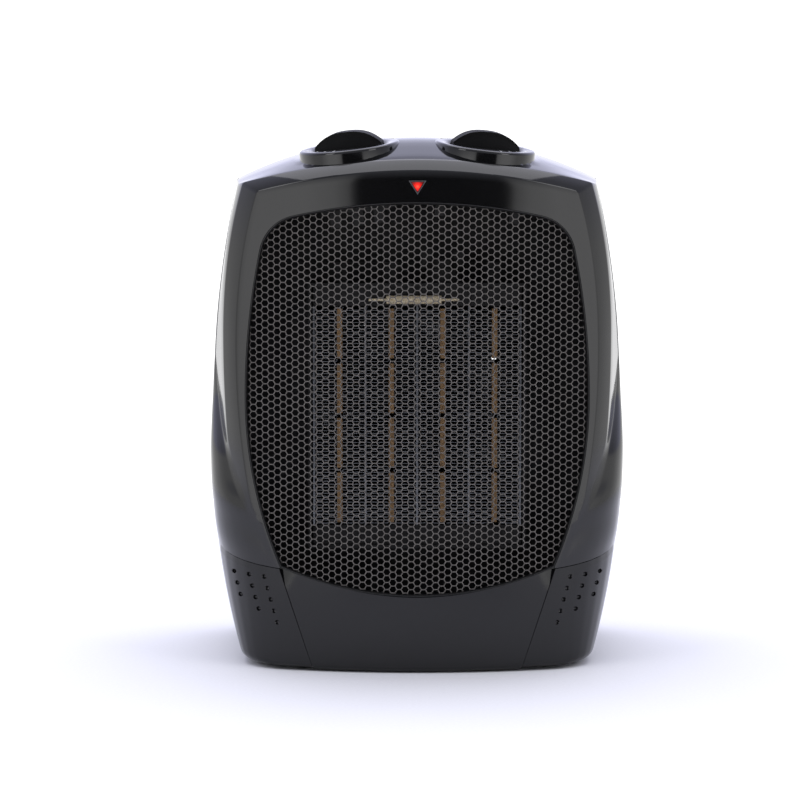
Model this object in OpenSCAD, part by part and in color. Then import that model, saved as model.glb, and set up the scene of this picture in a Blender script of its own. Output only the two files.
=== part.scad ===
/* Ceramic space heater: a black moulded case with a honeycomb front, two top dials,
   a fan-blown PTC ceramic element and a tip-over switch in the base.
   Origin: centre of the footprint on the floor. The front faces -Y, +Z is up. */

/* [Case] */
// Width at the widest point
body_w = 190; // [175:1:230]
// Depth, front to rear
body_d = 150; // [140:1:185]
// Height of the top panel's crest
body_h = 240; // [225:1:290]
// Wall thickness of the mouldings
shell_t = 2.4; // [2:0.1:3]
// Height of the widest point of the sides
widest_z = 95; // [85:1:105]
// Bow radius of the sides above the widest point
upper_side_r = 665; // [550:5:900]
// Bow radius of the sides below the widest point
lower_side_r = 280; // [250:5:400]
// Bow radius of the front, seen from above
front_r = 190; // [160:1:260]
// Bow radius of the top, seen from the front
arch_r = 205; // [180:1:280]
// Forward slope of the top panel, degrees
top_slope = 5; // [3:0.5:7]
// Distance of the front face's side creases from the widest point
crease_in = 14; // [12:1:18]
// Corner radius at the rear, seen from above
rear_corner_r = 28; // [20:1:34]
// Radius of the rear shoulder, seen from the side
shoulder_r = 30; // [20:1:40]
// Height of the crease between front face and brow, below the crest
brow_drop = 14.5; // [12:0.5:18]
// Y of the seam between front and rear mouldings, from the front face
split_in = 60; // [56:1:66]

/* [Base] */
// Gap under the skirt
skirt_z = 2; // [1.5:0.1:3]
// Gap under the front tongue
tongue_z = 0.8; // [0.5:0.1:1.5]
// Rounding of the skirt's lower edge, seen from the front
skirt_r = 8; // [5:1:10]
// Height of the seam above the skirt, at the front
seam_front_z = 44; // [40:1:48]
// Height of the seam above the skirt, at the sides and rear
seam_side_z = 58; // [52:1:64]
// Half width of the tongue at its top
tongue_top_half = 62.5; // [56:0.5:66]
// Half width of the tongue at its bottom
tongue_foot_half = 47; // [42:0.5:54]
// Radius of a rubber foot
foot_r = 8; // [6:0.5:10]
// Diameter of a skirt dimple
dimple_w = 2.1; // [1.5:0.1:3]

/* [Grille] */
// Half width of the opening at its widest
opening_half_w = 78; // [72:0.5:80]
// Height of the opening's widest point
opening_mid_z = 123; // [115:1:130]
// Height of the opening's upper edge on the centre line
opening_top_z = 212; // [205:0.5:216]
// Height of the opening's lower edge on the centre line
opening_foot_z = 34.5; // [32:0.5:38]
// Corner radius of the opening's upper corners
opening_corner_r = 20; // [14:1:26]
// Width of the bezel around the mesh
bezel_w = 3.2; // [2.5:0.1:4]
// Distance between the mesh cells
mesh_pitch = 11; // [9:0.5:14]
// Width of the mesh strands
mesh_bar = 2; // [1.6:0.1:3]

/* [Dials] */
// Distance of each dial from the centre line
dial_x = 30; // [27:0.5:34]
// Distance of the dials from the front face
dial_in = 31; // [29:0.5:34]
// Outward lean of the dials, degrees
dial_lean = 6.5; // [4:0.5:9]
// Outer radius of a dial ring
ring_r = 23; // [20:0.5:25]
// Height of a dial ring above the top panel
ring_h = 6.8; // [5:0.2:9]
// Radius of a knob
knob_r = 16.4; // [14:0.1:17.5]
// Height of a knob's grip above the ring
grip_h = 6.6; // [5:0.2:8]
// Gap between a knob and its ring
knob_gap = 0.6; // [0.4:0.1:1]
// Radius of a control spindle
spindle_r = 3; // [2.5:0.1:3.2]

/* [Element] */
// Height of the heated part of the element
core_h = 100; // [90:1:106]
// Depth of the element, front to rear
core_d = 24; // [18:1:27]
// Height of the element's centre
core_z = 114; // [110:1:118]
// Width of one row of fins
fin_w = 10.15; // [9:0.05:10.6]
// Distance between fin folds
fin_pitch = 5; // [4:0.5:8]
// Thickness of a ceramic stone
stone_t = 2.4; // [2:0.1:3]
// Distance between the element and the front face
core_in = 27; // [25:0.5:29]

/* [Fan] */
// Tip radius of the fan blades
fan_r = 46; // [40:0.5:47]
// Number of fan blades
blade_count = 7; // [5:1:9]
// Radius of the motor shaft
shaft_r = 1.6; // [1.5:0.1:2]
// Radius of the motor's rotor
rotor_r = 12; // [11:0.5:13]
// Thickness of the stator stack
stack_t = 18; // [14:1:20]

/* [Fits] */
// Radial running clearance of shafts and spindles
run_gap = 0.05; // [0.02:0.01:0.1]
// Clearance between parts that pass each other
free_gap = 0.5; // [0.3:0.1:0.8]

/* [Tip-over switch] */
// X of the plunger
tip_x = 36; // [30:1:40]
// Y of the plunger
tip_y = 15; // [10:1:25]
// Travel of the plunger
tip_travel = 6; // [4:0.5:6.5]
// Radius of the plunger
plunger_r = 4; // [3.5:0.1:5]

/* [Hidden] */

$fn = 64;
far = 400;
front_y = -body_d / 2;
rear_y = body_d / 2;
split_y = front_y + split_in;

// ---------- curves ----------
function arc_drop(d, r) = r - sqrt(max(r * r - d * d, 0));
function side_x(z) =
    body_w / 2 - arc_drop(abs(z - widest_z), z > widest_z ? upper_side_r : lower_side_r);
function polar(c, r, a) = [c[0] + r * cos(a), c[1] + r * sin(a)];
function arc_points(c, r, from, to, count) =
    [for (k = [0:count]) polar(c, r, from + (to - from) * k / count)];
function mirrored(points) =
    concat(points, [for (k = [len(points) - 1:-1:0]) [-points[k][0], points[k][1]]]);
function angle_to(c, p) = atan2(p[1] - c[1], p[0] - c[0]);
// The meeting point of two circles, on the side that sign picks
function circles_meet(c1, r1, c2, r2, sign) =
    let (v = c2 - c1, d = norm(v), a = (r1 * r1 - r2 * r2 + d * d) / (2 * d),
         h = sqrt(max(r1 * r1 - a * a, 0)))
    [c1[0] + (a * v[0] - sign * h * v[1]) / d, c1[1] + (a * v[1] + sign * h * v[0]) / d];

// ---------- case form ----------
side_step = 8;
brow_r = 151;
function outline_points(i) =
    let (low = skirt_z + skirt_r, r = skirt_r - i)
    mirrored(concat(
        arc_points([side_x(low) - skirt_r, low], r, -90, 0, 6),
        [for (z = [low + side_step:side_step:body_h + 3 * side_step]) [side_x(z) - i, z]]));

band_run = 6;
band_back = 7;
side_lead = 30;
crease_half = body_w / 2 - crease_in;
crease_y = front_y + arc_drop(crease_half, front_r);
function plan_points(i) =
    let (half = body_w / 2 - i, back = rear_y - i, r = rear_corner_r - i,
         c = [body_w / 2 - rear_corner_r, rear_y - rear_corner_r], k = 0.4 * i)
    mirrored(concat(
        [[crease_half - k, front_y - 5], [crease_half - k, crease_y],
         [crease_half + band_run - i, crease_y + band_back + k],
         [half, crease_y + band_back + side_lead]],
        arc_points(c, r, 0, 90, 7)));

function shoulder_points(i) =
    let (c = [rear_y - shoulder_r, body_h - shoulder_r])
    concat([[front_y - 5, -5], [rear_y - i, -5]], arc_points(c, shoulder_r - i, 0, 90, 8),
           [[c[0] - 1, body_h + 5], [front_y - 5, body_h + 5]]);

module along_y(from, to) {
    translate([0, to, 0]) rotate([90, 0, 0]) linear_extrude(to - from) children();
}

module along_x(half) {
    rotate([90, 0, 90]) translate([0, 0, -half]) linear_extrude(2 * half) children();
}

// Solid with the case's outer form, drawn in on all sides by i
module case_form(i = 0) {
    crest_y = rear_y - shoulder_r;
    intersection() {
        along_y(front_y - 5, rear_y + 5) polygon(outline_points(i));
        linear_extrude(body_h + 20) intersection() {
            translate([0, front_y + front_r]) circle(front_r - i, $fn = 180);
            polygon(plan_points(i));
        }
        along_x(body_w) polygon(shoulder_points(i));
        translate([0, crest_y, body_h]) rotate([90 + top_slope, 0, 0])
            translate([0, -arch_r, -far / 2]) cylinder(far, r = arch_r - i, $fn = 180);
        translate([0, front_y, body_h - brow_drop]) rotate([-45, 0, 0])
            translate([0, brow_r, -far / 2]) cylinder(far, r = brow_r - i, $fn = 180);
    }
}

module case_wall() {
    difference() {
        case_form(0);
        case_form(shell_t);
    }
}

// Block below the seam between the upper mouldings and the base
module seam_block() {
    bend_y = split_y + 3;
    along_x(body_w) polygon([
        [front_y - 5, -5], [front_y - 5, seam_front_z], [front_y, seam_front_z],
        [bend_y, seam_side_z], [rear_y + 5, seam_side_z], [rear_y + 5, -5]]);
}

// Sheet of thickness t that lies depth behind the bowed front face
module front_sheet(depth, t) {
    translate([0, front_y + front_r, 0]) difference() {
        cylinder(body_h, r = front_r - depth, $fn = 180);
        translate([0, 0, -1]) cylinder(body_h + 2, r = front_r - depth - t, $fn = 180);
    }
}

function tongue_half(z) = tongue_foot_half
    + (tongue_top_half - tongue_foot_half) * (z - tongue_z) / (seam_front_z + 3 - tongue_z);

tongue_fit = 0.1;

module tongue_slab(side_gap, low) {
    high = seam_front_z + 6;
    along_y(front_y - 5, front_y + 30) polygon([
        [-tongue_half(low) - side_gap, low], [tongue_half(low) + side_gap, low],
        [tongue_half(high) + side_gap, high], [-tongue_half(high) - side_gap, high]]);
}

// Panel below the grille, which carries the front down to the floor
module tongue_panel() {
    color("#101012") difference() {
        intersection() {
            front_sheet(0, shell_t);
            tongue_slab(0, tongue_z);
        }
        opening_slab(0, front_y - 6, front_y + opening_deep);
    }
}

// ---------- grille opening ----------
opening_top_r = 250;
opening_upper_r = 326;
opening_lower_r = 190;
opening_foot_r = 164;
opening_deep = arc_drop(opening_half_w, front_r) + 5;

function opening_points(i) =
    let (top_c = [0, opening_top_z - opening_top_r],
         upper_c = [opening_half_w - opening_upper_r, opening_mid_z],
         lower_c = [opening_half_w - opening_lower_r, opening_mid_z],
         foot_c = [0, opening_foot_z + opening_foot_r],
         fillet_c = circles_meet(top_c, opening_top_r - opening_corner_r,
                                 upper_c, opening_upper_r - opening_corner_r, -1),
         corner = circles_meet(lower_c, opening_lower_r - i, foot_c, opening_foot_r - i, -1),
         top_a = angle_to(top_c, fillet_c), side_a = angle_to(upper_c, fillet_c))
    mirrored(concat(
        arc_points(foot_c, opening_foot_r - i, -90, angle_to(foot_c, corner), 8),
        arc_points(lower_c, opening_lower_r - i, angle_to(lower_c, corner), 0, 6),
        arc_points(upper_c, opening_upper_r - i, 0, side_a, 6),
        arc_points(fillet_c, opening_corner_r - i, side_a, top_a, 6),
        arc_points(top_c, opening_top_r - i, top_a, 90, 7)));

module opening_slab(i, from, to) {
    along_y(from, to) polygon(opening_points(i));
}

// ---------- fasteners ----------
tab_w = 4.8;
tab_t = 0.8;
screw_shank_r = 1.5;
screw_head_r = 3.2;
screw_head_t = 2;
recess_w = 3.6;
recess_t = 0.7;
recess_deep = 0.9;

// A pan-head screw whose head's underside is at the origin, with its shank along -Z
module screw(length) {
    translate([0, 0, -length]) cylinder(length, r = screw_shank_r, $fn = 24);
    difference() {
        cylinder(screw_head_t, r = screw_head_r, $fn = 32);
        for (a = [0, 90]) rotate([0, 0, a])
            translate([-recess_w / 2, -recess_t / 2, screw_head_t - recess_deep])
                cube([recess_w, recess_t, screw_head_t]);
    }
}

// ---------- case mouldings ----------
shroud_y = split_y;
shroud_t = 2;
shroud_fit = 0.1;
shroud_foot = 20;
boss_r = 4.5;
web_t = 2;
boss_pilot = 12;
case_screw_y = split_y + shroud_t + boss_pilot;
case_screw_len = shroud_t + boss_pilot + 10;
upper_boss = [62, 218.5];
lower_boss_in = 16;
lower_boss = [body_w / 2 - lower_boss_in, 92];
boss_places = [for (s = [-1, 1]) for (b = [upper_boss, lower_boss]) [s * b[0], b[1]]];
post_x = 62;
front_post_y = front_y + 35;
rear_post_y = rear_y - 35;
post_top = seam_side_z + 14;
floor_z = skirt_z + shell_t;
base_screw_len = 14;
base_sink = 1.2;
pilot_top = skirt_z + base_sink + base_screw_len + 1;

// Screw bosses from front to rear, each with a web to the nearest wall
module case_boss(from, to) {
    for (p = boss_places) {
        translate([p[0], to, p[1]]) rotate([90, 0, 0]) cylinder(to - from, r = boss_r);
        translate([p[0] > 0 ? p[0] : -body_w / 2, from, p[1] - web_t / 2])
            cube([body_w / 2 - abs(p[0]), to - from, web_t]);
    }
}

module shell_post(x, y) {
    side = x > 0 ? 1 : -1;
    translate([x, y, floor_z]) cylinder(post_top - floor_z, r = boss_r);
    translate([min(x, side * body_w / 2), y - web_t / 2, seam_side_z + 2])
        cube([body_w / 2 - post_x, web_t, post_top - seam_side_z - 2]);
}

module front_shell() {
    color("#101012") difference() {
        union() {
            intersection() {
                difference() {
                    case_wall();
                    seam_block();
                    tongue_slab(tongue_fit, tongue_z);
                }
                translate([-far / 2, front_y - 5, 0]) cube([far, split_in + 5, far]);
            }
            intersection() {
                case_form(shell_t / 2);
                union() {
                    case_boss(split_y - 14, split_y);
                    for (s = [-1, 1]) shell_post(s * post_x, front_post_y);
                }
            }
        }
        opening_slab(0, front_y - 6, front_y + opening_deep);
        for (s = [-1, 1]) at_dial(s) translate([0, 0, 2 * ring_foot])
            cylinder(4 * ring_h, r = ring_r + ring_fit, $fn = 96);
        indicator_slab(0.2, front_y - 6, front_y + 10);
        for (p = boss_places) translate([p[0], split_y + 1, p[1]]) rotate([90, 0, 0])
            cylinder(boss_pilot + 1, r = screw_shank_r);
        for (s = [-1, 1]) translate([s * post_x, front_post_y, 0])
            cylinder(pilot_top, r = screw_shank_r, $fn = 24);
    }
}

louvre_half_w = 56;
louvre_h = 4;
louvre_pitch = 8;
louvre_low = 72;
louvre_high = 172;
grip_half_w = 44;
grip_low = 197;
grip_high = 219;
grip_in = 22;

module rear_shell() {
    color("#131315") difference() {
        union() {
            intersection() {
                union() {
                    difference() {
                        case_wall();
                        seam_block();
                    }
                    grip_pocket(shell_t);
                }
                translate([-far / 2, split_y, 0]) cube([far, far, far]);
                case_form(0);
            }
            intersection() {
                case_form(shell_t / 2);
                union() {
                    case_boss(split_y + shroud_t, rear_y - shell_t / 2);
                    for (s = [-1, 1]) shell_post(s * post_x, rear_post_y);
                }
            }
        }
        grip_pocket(0);
        louvre_slots();
        for (p = boss_places) {
            translate([p[0], rear_y + 1, p[1]]) rotate([90, 0, 0]) cylinder(far, r = screw_shank_r);
            translate([p[0], rear_y + 1, p[1]]) rotate([90, 0, 0])
                cylinder(rear_y + 1 - case_screw_y, r = screw_head_r + 0.3);
        }
        for (s = [-1, 1]) translate([s * post_x, rear_post_y, 0])
            cylinder(pilot_top, r = screw_shank_r, $fn = 24);
    }
}

module grip_pocket(wall) {
    translate([-grip_half_w - wall, rear_y - grip_in - wall, grip_low - wall])
        cube([2 * (grip_half_w + wall), grip_in + wall + (wall > 0 ? 0 : 1),
              grip_high - grip_low + 2 * wall]);
}

module louvre_slots() {
    for (z = [louvre_low:louvre_pitch:louvre_high - louvre_h]) {
        translate([-louvre_half_w, rear_y - 10, z]) cube([louvre_half_w - 2, 12, louvre_h]);
        translate([2, rear_y - 10, z]) cube([louvre_half_w - 2, 12, louvre_h]);
    }
}

gland_x = -40;
gland_z = 24;
gland_r = 6;
gland_flange_r = 8.5;
gland_flange_t = 1.8;

module base_tub() {
    color("#101012") difference() {
        union() {
            intersection() {
                case_wall();
                seam_block();
            }
            translate([gland_x, rear_y, gland_z]) rotate([90, 0, 0])
                cylinder(shell_t + 2, r = gland_flange_r + 1.5);
        }
        intersection() {
            front_sheet(-5, shell_t + 5);
            tongue_slab(tongue_fit, -5);
        }
        dimples();
        for (f = foot_places) translate([f[0], f[1], -1]) cylinder(1 + skirt_z + foot_recess, r = foot_r);
        for (s = [-1, 1]) for (y = [front_post_y, rear_post_y]) translate([s * post_x, y, -1]) {
            cylinder(floor_z + 2, r = screw_shank_r + 0.2);
            cylinder(skirt_z + 1 + base_sink, r = screw_head_r + 0.3);
        }
        translate([tip_x, tip_y, -1]) cylinder(floor_z + 2, r = plunger_r + free_gap);
        translate([gland_x, rear_y + 1, gland_z]) rotate([90, 0, 0]) {
            cylinder(gland_len, r = gland_r);
            cylinder(gland_flange_t + 1, r = gland_flange_r);
        }
    }
}

// Columns of small round dimples low on each side of the skirt: three, four and five of them
dimple_in = 10.5;
dimple_row = 7;
dimple_step = 5.1;

module dimples() {
    for (s = [-1, 1]) for (c = [0:2]) for (k = [0:2 + c]) {
        x = body_w / 2 - dimple_in - c * dimple_row - k * 1.5;
        z = seam_front_z + 4.2 - 1.6 * c - k * dimple_step;
        translate([s * x, front_y + arc_drop(x, front_r) + 8, z])
            rotate([90, 0, 0]) cylinder(30, r = dimple_w / 2, $fn = 16);
    }
}

module grille_bezel() {
    color("#0a0a0b") difference() {
        intersection() {
            front_sheet(0.5, 6);
            opening_slab(0, front_y - 5, front_y + 50);
        }
        opening_slab(bezel_w, front_y - 6, front_y + 51);
    }
}

mesh_set_back = 2;
mesh_t = 1.6;

module front_grille() {
    color("#2b2b2d") difference() {
        intersection() {
            front_sheet(mesh_set_back, mesh_t);
            opening_slab(bezel_w, front_y - 5, front_y + 50);
        }
        for (cell = mesh_cells()) translate([cell[0], front_y + 45, cell[1]]) rotate([90, 0, 0])
            cylinder(50, r = (mesh_pitch - mesh_bar) / sqrt(3), $fn = 6);
    }
}

// Cell centres of the honeycomb: columns a shared pitch apart, every other one shifted
function inside_opening(x, z, margin) =
    let (side_r = z > opening_mid_z ? opening_upper_r : opening_lower_r,
         side = opening_half_w - arc_drop(abs(z - opening_mid_z), side_r) - margin,
         over = opening_top_z - margin - arc_drop(x, opening_top_r),
         under = opening_foot_z + margin + arc_drop(x, opening_foot_r),
         cut = opening_corner_r + 6,
         past_x = abs(x) - (opening_half_w - cut - 2),
         past_z = z - (opening_top_z - cut))
    abs(x) < side && z < over && z > under
    && !(past_x > 0 && past_z > 0 && past_x + past_z > cut);
function mesh_cells() =
    let (column = mesh_pitch * sqrt(3) / 2, reach = ceil(opening_half_w / column),
         margin = bezel_w + mesh_pitch * 0.62)
    [for (i = [-reach:reach]) for (k = [-12:12])
        let (x = i * column, z = opening_mid_z + (k + (abs(i) % 2) / 2) * mesh_pitch)
        if (inside_opening(x, z, margin)) [x, z]];

// ---------- indicator ----------
indicator_z = opening_top_z + 6.4;
indicator_w = 7.6;
indicator_h = 5.8;

module indicator_slab(grow, from, to) {
    half = indicator_w / 2 + grow;
    high = indicator_z + indicator_h / 2 + grow;
    along_y(from, to) polygon([[-half, high], [0, high - indicator_h - 2.5 * grow], [half, high]]);
}

module indicator_lens() {
    color("#e83020") indicator_slab(0.2, front_y + 0.2, front_y + 5);
}

module indicator_lamp() {
    color("#ff7040") {
        translate([0, front_y + 17, indicator_z]) rotate([90, 0, 0]) cylinder(11.5, r = 2.5, $fn = 32);
        for (s = [-1, 1]) translate([s * 1.2, front_y + 26, indicator_z]) rotate([90, 0, 0])
            cylinder(9.5, r = 0.35, $fn = 16);
    }
}

// ---------- dials ----------
dial_y = front_y + dial_in;
crest_line_y = rear_y - shoulder_r;
dial_z = body_h - (crest_line_y - dial_y) * tan(top_slope) - arc_drop(dial_x, arch_r);

// Local frame of a dial: origin on the top panel, +Z along the spindle
module at_dial(side) {
    translate([side * dial_x, dial_y, dial_z]) rotate([top_slope, side * dial_lean, 0]) children();
}

ring_foot = -6;
ring_fit = 0.1;
ring_floor_t = 2.2;
bush_r = 5;
knob_base = ring_foot + ring_floor_t + free_gap;
knob_wall = 2;
nut_angles = [45, 225];
nut_at = (spindle_r + knob_r) / 2;
nut_shank_r = 1.7;
nut_r = 2.6;
socket_deep = 9;

module dial_ring(side) {
    inner = knob_r + knob_gap;
    edge = 0.8;
    color("#0c0c0e") at_dial(side) difference() {
        rotate_extrude($fn = 96) polygon([
            [bush_r, ring_foot], [ring_r, ring_foot], [ring_r, ring_h - edge], [ring_r - edge, ring_h],
            [inner + edge, ring_h], [inner, ring_h - edge], [inner, ring_foot + ring_floor_t],
            [bush_r, ring_foot + ring_floor_t]]);
        for (a = nut_angles) rotate([0, 0, a]) translate([nut_at, 0, ring_foot - 1])
            cylinder(ring_floor_t + 2, r = nut_shank_r, $fn = 24);
    }
}

// Knob with a broad disc, an arched grip bar across it and a blind socket for the spindle
module knob(side) {
    disc_top = ring_h - 1;
    grip_top = ring_h + grip_h;
    grip_t = 9;
    grip_bow_r = 38;
    color("#18181a") at_dial(side) difference() {
        union() {
            rotate_extrude($fn = 96) polygon([
                [0, knob_base], [knob_r, knob_base], [knob_r, disc_top - 0.8],
                [knob_r - 0.8, disc_top], [0, disc_top]]);
            rotate([0, 0, side * grip_turn]) intersection() {
                translate([-knob_r + 1, -grip_t / 2, disc_top - 1]) cube([2 * knob_r - 2, grip_t, grip_top]);
                translate([0, grip_t, grip_top - grip_bow_r]) rotate([90, 0, 0])
                    cylinder(2 * grip_t, r = grip_bow_r, $fn = 120);
            }
        }
        translate([0, 0, knob_base - 1]) cylinder(socket_deep + 1, r = spindle_r);
        difference() {
            translate([0, 0, knob_base - 1]) cylinder(disc_top - knob_base - 1, r = knob_r - knob_wall);
            translate([0, 0, knob_base - 2]) cylinder(disc_top - knob_base + 2, r = spindle_r + knob_wall);
        }
    }
}

grip_turn = 12;

// ---------- controls ----------
control_top = ring_foot;
control_w = 32;
control_d = 28;
control_h = 16;
control_floor = 3;
control_plate_t = 1.2;

module spindle(side) {
    foot = control_top - control_h + control_floor;
    color("#b9b9bd") at_dial(side) translate([0, 0, foot])
        cylinder(knob_base + socket_deep - foot, r = spindle_r);
}

// Bore for a spindle, from just below its foot up through the bush
module control_bore() {
    translate([0, 0, control_floor - free_gap]) cylinder(2 * control_h, r = spindle_r + run_gap);
}

module control_bush() {
    translate([0, 0, control_h]) cylinder(ring_floor_t, r = bush_r - ring_fit);
}

module mode_switch() {
    color("#d8d4c8") at_dial(-1) translate([0, 0, control_top - control_h]) difference() {
        union() {
            translate([-control_w / 2, -control_d / 2, 0]) cube([control_w, control_d, control_h]);
            control_bush();
            for (x = [-10, 0, 10]) for (y = [-8, 8])
                translate([x - tab_w / 2, y - tab_t / 2, -7]) cube([tab_w, tab_t, 8]);
        }
        control_bore();
    }
}

module thermostat_body() {
    color("#c9c3b4") at_dial(1) translate([0, 0, control_top - control_h]) difference() {
        union() {
            translate([-control_w / 2, -control_d / 2, control_h - control_plate_t])
                cube([control_w, control_d, control_plate_t]);
            translate([-9, -11, 4]) cube([18, 22, control_h - 4]);
            control_bush();
            translate([-20, -5, 3]) cube([40, 10, 1.4]);
            for (x = [-19, 15]) translate([x, -3, -5]) cube([4, 6, 9.2]);
        }
        control_bore();
    }
}

module control_nuts() {
    color("#c0c0c4") for (s = [-1, 1]) at_dial(s) for (a = nut_angles) rotate([0, 0, a])
        translate([nut_at, 0, control_top]) {
            translate([0, 0, ring_floor_t]) cylinder(1.2, r = nut_r, $fn = 24);
            cylinder(ring_floor_t, r = nut_shank_r, $fn = 24);
        }
}

// ---------- heating element ----------
plate_t = 0.8;
cell_pitch = 2 * fin_w + stone_t + plate_t;
core_w = 4 * cell_pitch + plate_t;
core_front = front_y + core_in;
core_back = core_front + core_d;
core_low = core_z - core_h / 2;
cap_h = 9;
stone_count = 4;
stone_gap = 2.4;

module ptc_stones() {
    step = core_h / stone_count;
    color("#c9a56a") for (c = [-1.5:1:1.5]) for (k = [0:stone_count - 1])
        translate([c * cell_pitch - stone_t / 2, core_front + 1, core_low + k * step + stone_gap / 2])
            cube([stone_t, core_d - 2, step - stone_gap]);
}

fin_sheet = 0.5;

// A folded strip: flats a pitch apart, joined by webs at alternate ends
module fin_row() {
    flats = floor((core_h - fin_sheet) / fin_pitch);
    pitch = (core_h - fin_sheet) / flats;
    for (k = [0:flats]) translate([0, core_front + 1.5, core_low + k * pitch]) {
        cube([fin_w, core_d - 3, fin_sheet]);
        if (k < flats) translate([k % 2 == 0 ? 0 : fin_w - fin_sheet, 0, 0])
            cube([fin_sheet, core_d - 3, pitch + fin_sheet]);
    }
}

module heater_fins() {
    color("#a9abae") for (c = [-1.5:1:1.5]) {
        translate([c * cell_pitch - stone_t / 2 - fin_w, 0, 0]) fin_row();
        translate([c * cell_pitch + stone_t / 2, 0, 0]) fin_row();
    }
}

module divider_plates() {
    color("#b4b6b9") for (c = [-2:2])
        translate([c * cell_pitch - plate_t / 2, core_front, core_low]) cube([plate_t, core_d, core_h]);
}

module element_cap(low) {
    color("#26231f") translate([-core_w / 2, core_front, low]) cube([core_w, core_d, cap_h]);
}

module element_terminals() {
    color("#c8b27a") for (c = terminal_cells)
        translate([c * cell_pitch - terminal_w / 2, core_back - 6, core_low + core_h + cap_h])
            cube([terminal_w, tab_t, 10]);
}

terminal_cells = [-1.5, -0.5, 1.5];
terminal_w = 6.3;
duct_t = 1.5;
duct_fit = 0.6;
duct_x = core_w / 2 + duct_fit + duct_t;
duct_low = core_low - cap_h - duct_t;
duct_high = core_low + core_h + cap_h + duct_t;
duct_lip = 2;
duct_flange = 8;
duct_screw_in = 4.2;
duct_screw_len = 3.5;
duct_screw_places = [for (s = [-1, 1]) for (z = [duct_low - duct_screw_in, duct_high + duct_screw_in])
    [s * duct_x, z]];

module heat_duct() {
    front = core_front - duct_lip;
    color("#8d8f92") difference() {
        union() {
            translate([-duct_x, front, duct_low])
                cube([2 * duct_x, shroud_y - front, duct_high - duct_low]);
            translate([-duct_x - duct_flange, shroud_y - duct_t, duct_low - duct_flange])
                cube([2 * (duct_x + duct_flange), duct_t, duct_high - duct_low + 2 * duct_flange]);
        }
        translate([-duct_x + duct_t, front - 1, duct_low + duct_t])
            cube([2 * (duct_x - duct_t), far, duct_high - duct_low - 2 * duct_t]);
        for (c = terminal_cells) translate([c * cell_pitch - 4, core_back - 8, duct_high - 2 * duct_t])
            cube([8, 5, 5]);
        for (p = duct_screw_places) translate([p[0], shroud_y + 1, p[1]]) rotate([90, 0, 0])
            cylinder(shell_t + duct_t + 1, r = screw_shank_r);
    }
}

module duct_screws() {
    color("#b0b0b4") for (p = duct_screw_places)
        translate([p[0], shroud_y - duct_t, p[1]]) rotate([90, 0, 0]) screw(duct_screw_len);
}

fuse_r = 1.9;
fuse_len = 25;
fuse_lead = 8;
fuse_z = core_low + core_h + cap_h / 3;
fuse_y = core_front - fuse_r - 0.3;

// Sleeved fuse across the front of the upper cap, held by two clips
module thermal_fuse() {
    low = -14;
    color("#cbb487") translate([low, fuse_y, fuse_z]) rotate([0, 90, 0])
        cylinder(fuse_len, r = fuse_r, $fn = 32);
    color("#c0c0c4") for (x = [low - fuse_lead, low + fuse_len]) translate([x, fuse_y, fuse_z])
        rotate([0, 90, 0]) cylinder(fuse_lead, r = 0.6, $fn = 16);
    color("#c0c0c4") for (x = [low + 4, low + fuse_len - 6])
        translate([x, fuse_y, fuse_z - 0.6]) cube([2, core_front - fuse_y, 1.2]);
}

module thermal_cutout() {
    cutout_r = 8;
    cutout_t = 6;
    color("#3a3226") translate([cell_pitch / 2, core_back - cutout_r - 1, duct_high]) {
        cylinder(cutout_t, r = cutout_r);
        translate([0, 0, cutout_t]) cylinder(4, r = 5.5);
        for (s = [-1, 1]) translate([s * 7.5 - tab_w / 2, -tab_t / 2, cutout_t]) cube([tab_w, tab_t, 8]);
    }
}

// ---------- fan ----------
collar_r = fan_r + 2.5;
collar_t = 2;
collar_deep = 20;
spider_y = shroud_y + collar_deep;
spider_t = 2.5;

module at_fan(y) {
    translate([0, y, core_z]) rotate([-90, 0, 0]) children();
}

module fan_shroud() {
    color("#1c1c1f") difference() {
        union() {
            intersection() {
                case_form(shell_t + shroud_fit);
                translate([-far / 2, shroud_y, floor_z]) cube([far, shroud_t, far]);
            }
            at_fan(shroud_y) cylinder(collar_deep, r = collar_r + collar_t, $fn = 96);
        }
        at_fan(shroud_y - 1) cylinder(collar_deep + 2, r = collar_r, $fn = 96);
        for (p = concat(boss_places, duct_screw_places)) translate([p[0], shroud_y - 1, p[1]])
            rotate([-90, 0, 0]) cylinder(shroud_t + 2, r = screw_shank_r);
        translate([-far / 2, shroud_y - 1, 0]) cube([far, shroud_t + 2, floor_z + shroud_foot]);
    }
}

spider_plate_r = 32;
spider_rim_w = 3;
spider_arm_w = 8;

// Window between two arms: a sector whose straight ends run along the arms
function spider_window(a) =
    let (out = collar_r - spider_rim_w, in_turn = asin(spider_arm_w / 2 / spider_plate_r),
         out_turn = asin(spider_arm_w / 2 / out))
    concat(arc_points([0, 0], spider_plate_r, a + 90 - in_turn, a + in_turn, 8),
           arc_points([0, 0], out, a + out_turn, a + 90 - out_turn, 12));

module fan_spider() {
    color("#232326") at_fan(spider_y) difference() {
        cylinder(spider_t, r = collar_r + collar_t, $fn = 96);
        for (a = [45:90:315]) translate([0, 0, -1]) linear_extrude(spider_t + 2) polygon(spider_window(a));
        translate([0, 0, -1]) cylinder(spider_t + 2, r = 7);
        for (s = [-1, 1]) translate([s * motor_screw_x, 0, -1]) cylinder(spider_t + 2, r = screw_shank_r);
    }
}

hub_r = 14;
hub_y = shroud_y + 3;
hub_deep = 13;

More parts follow.
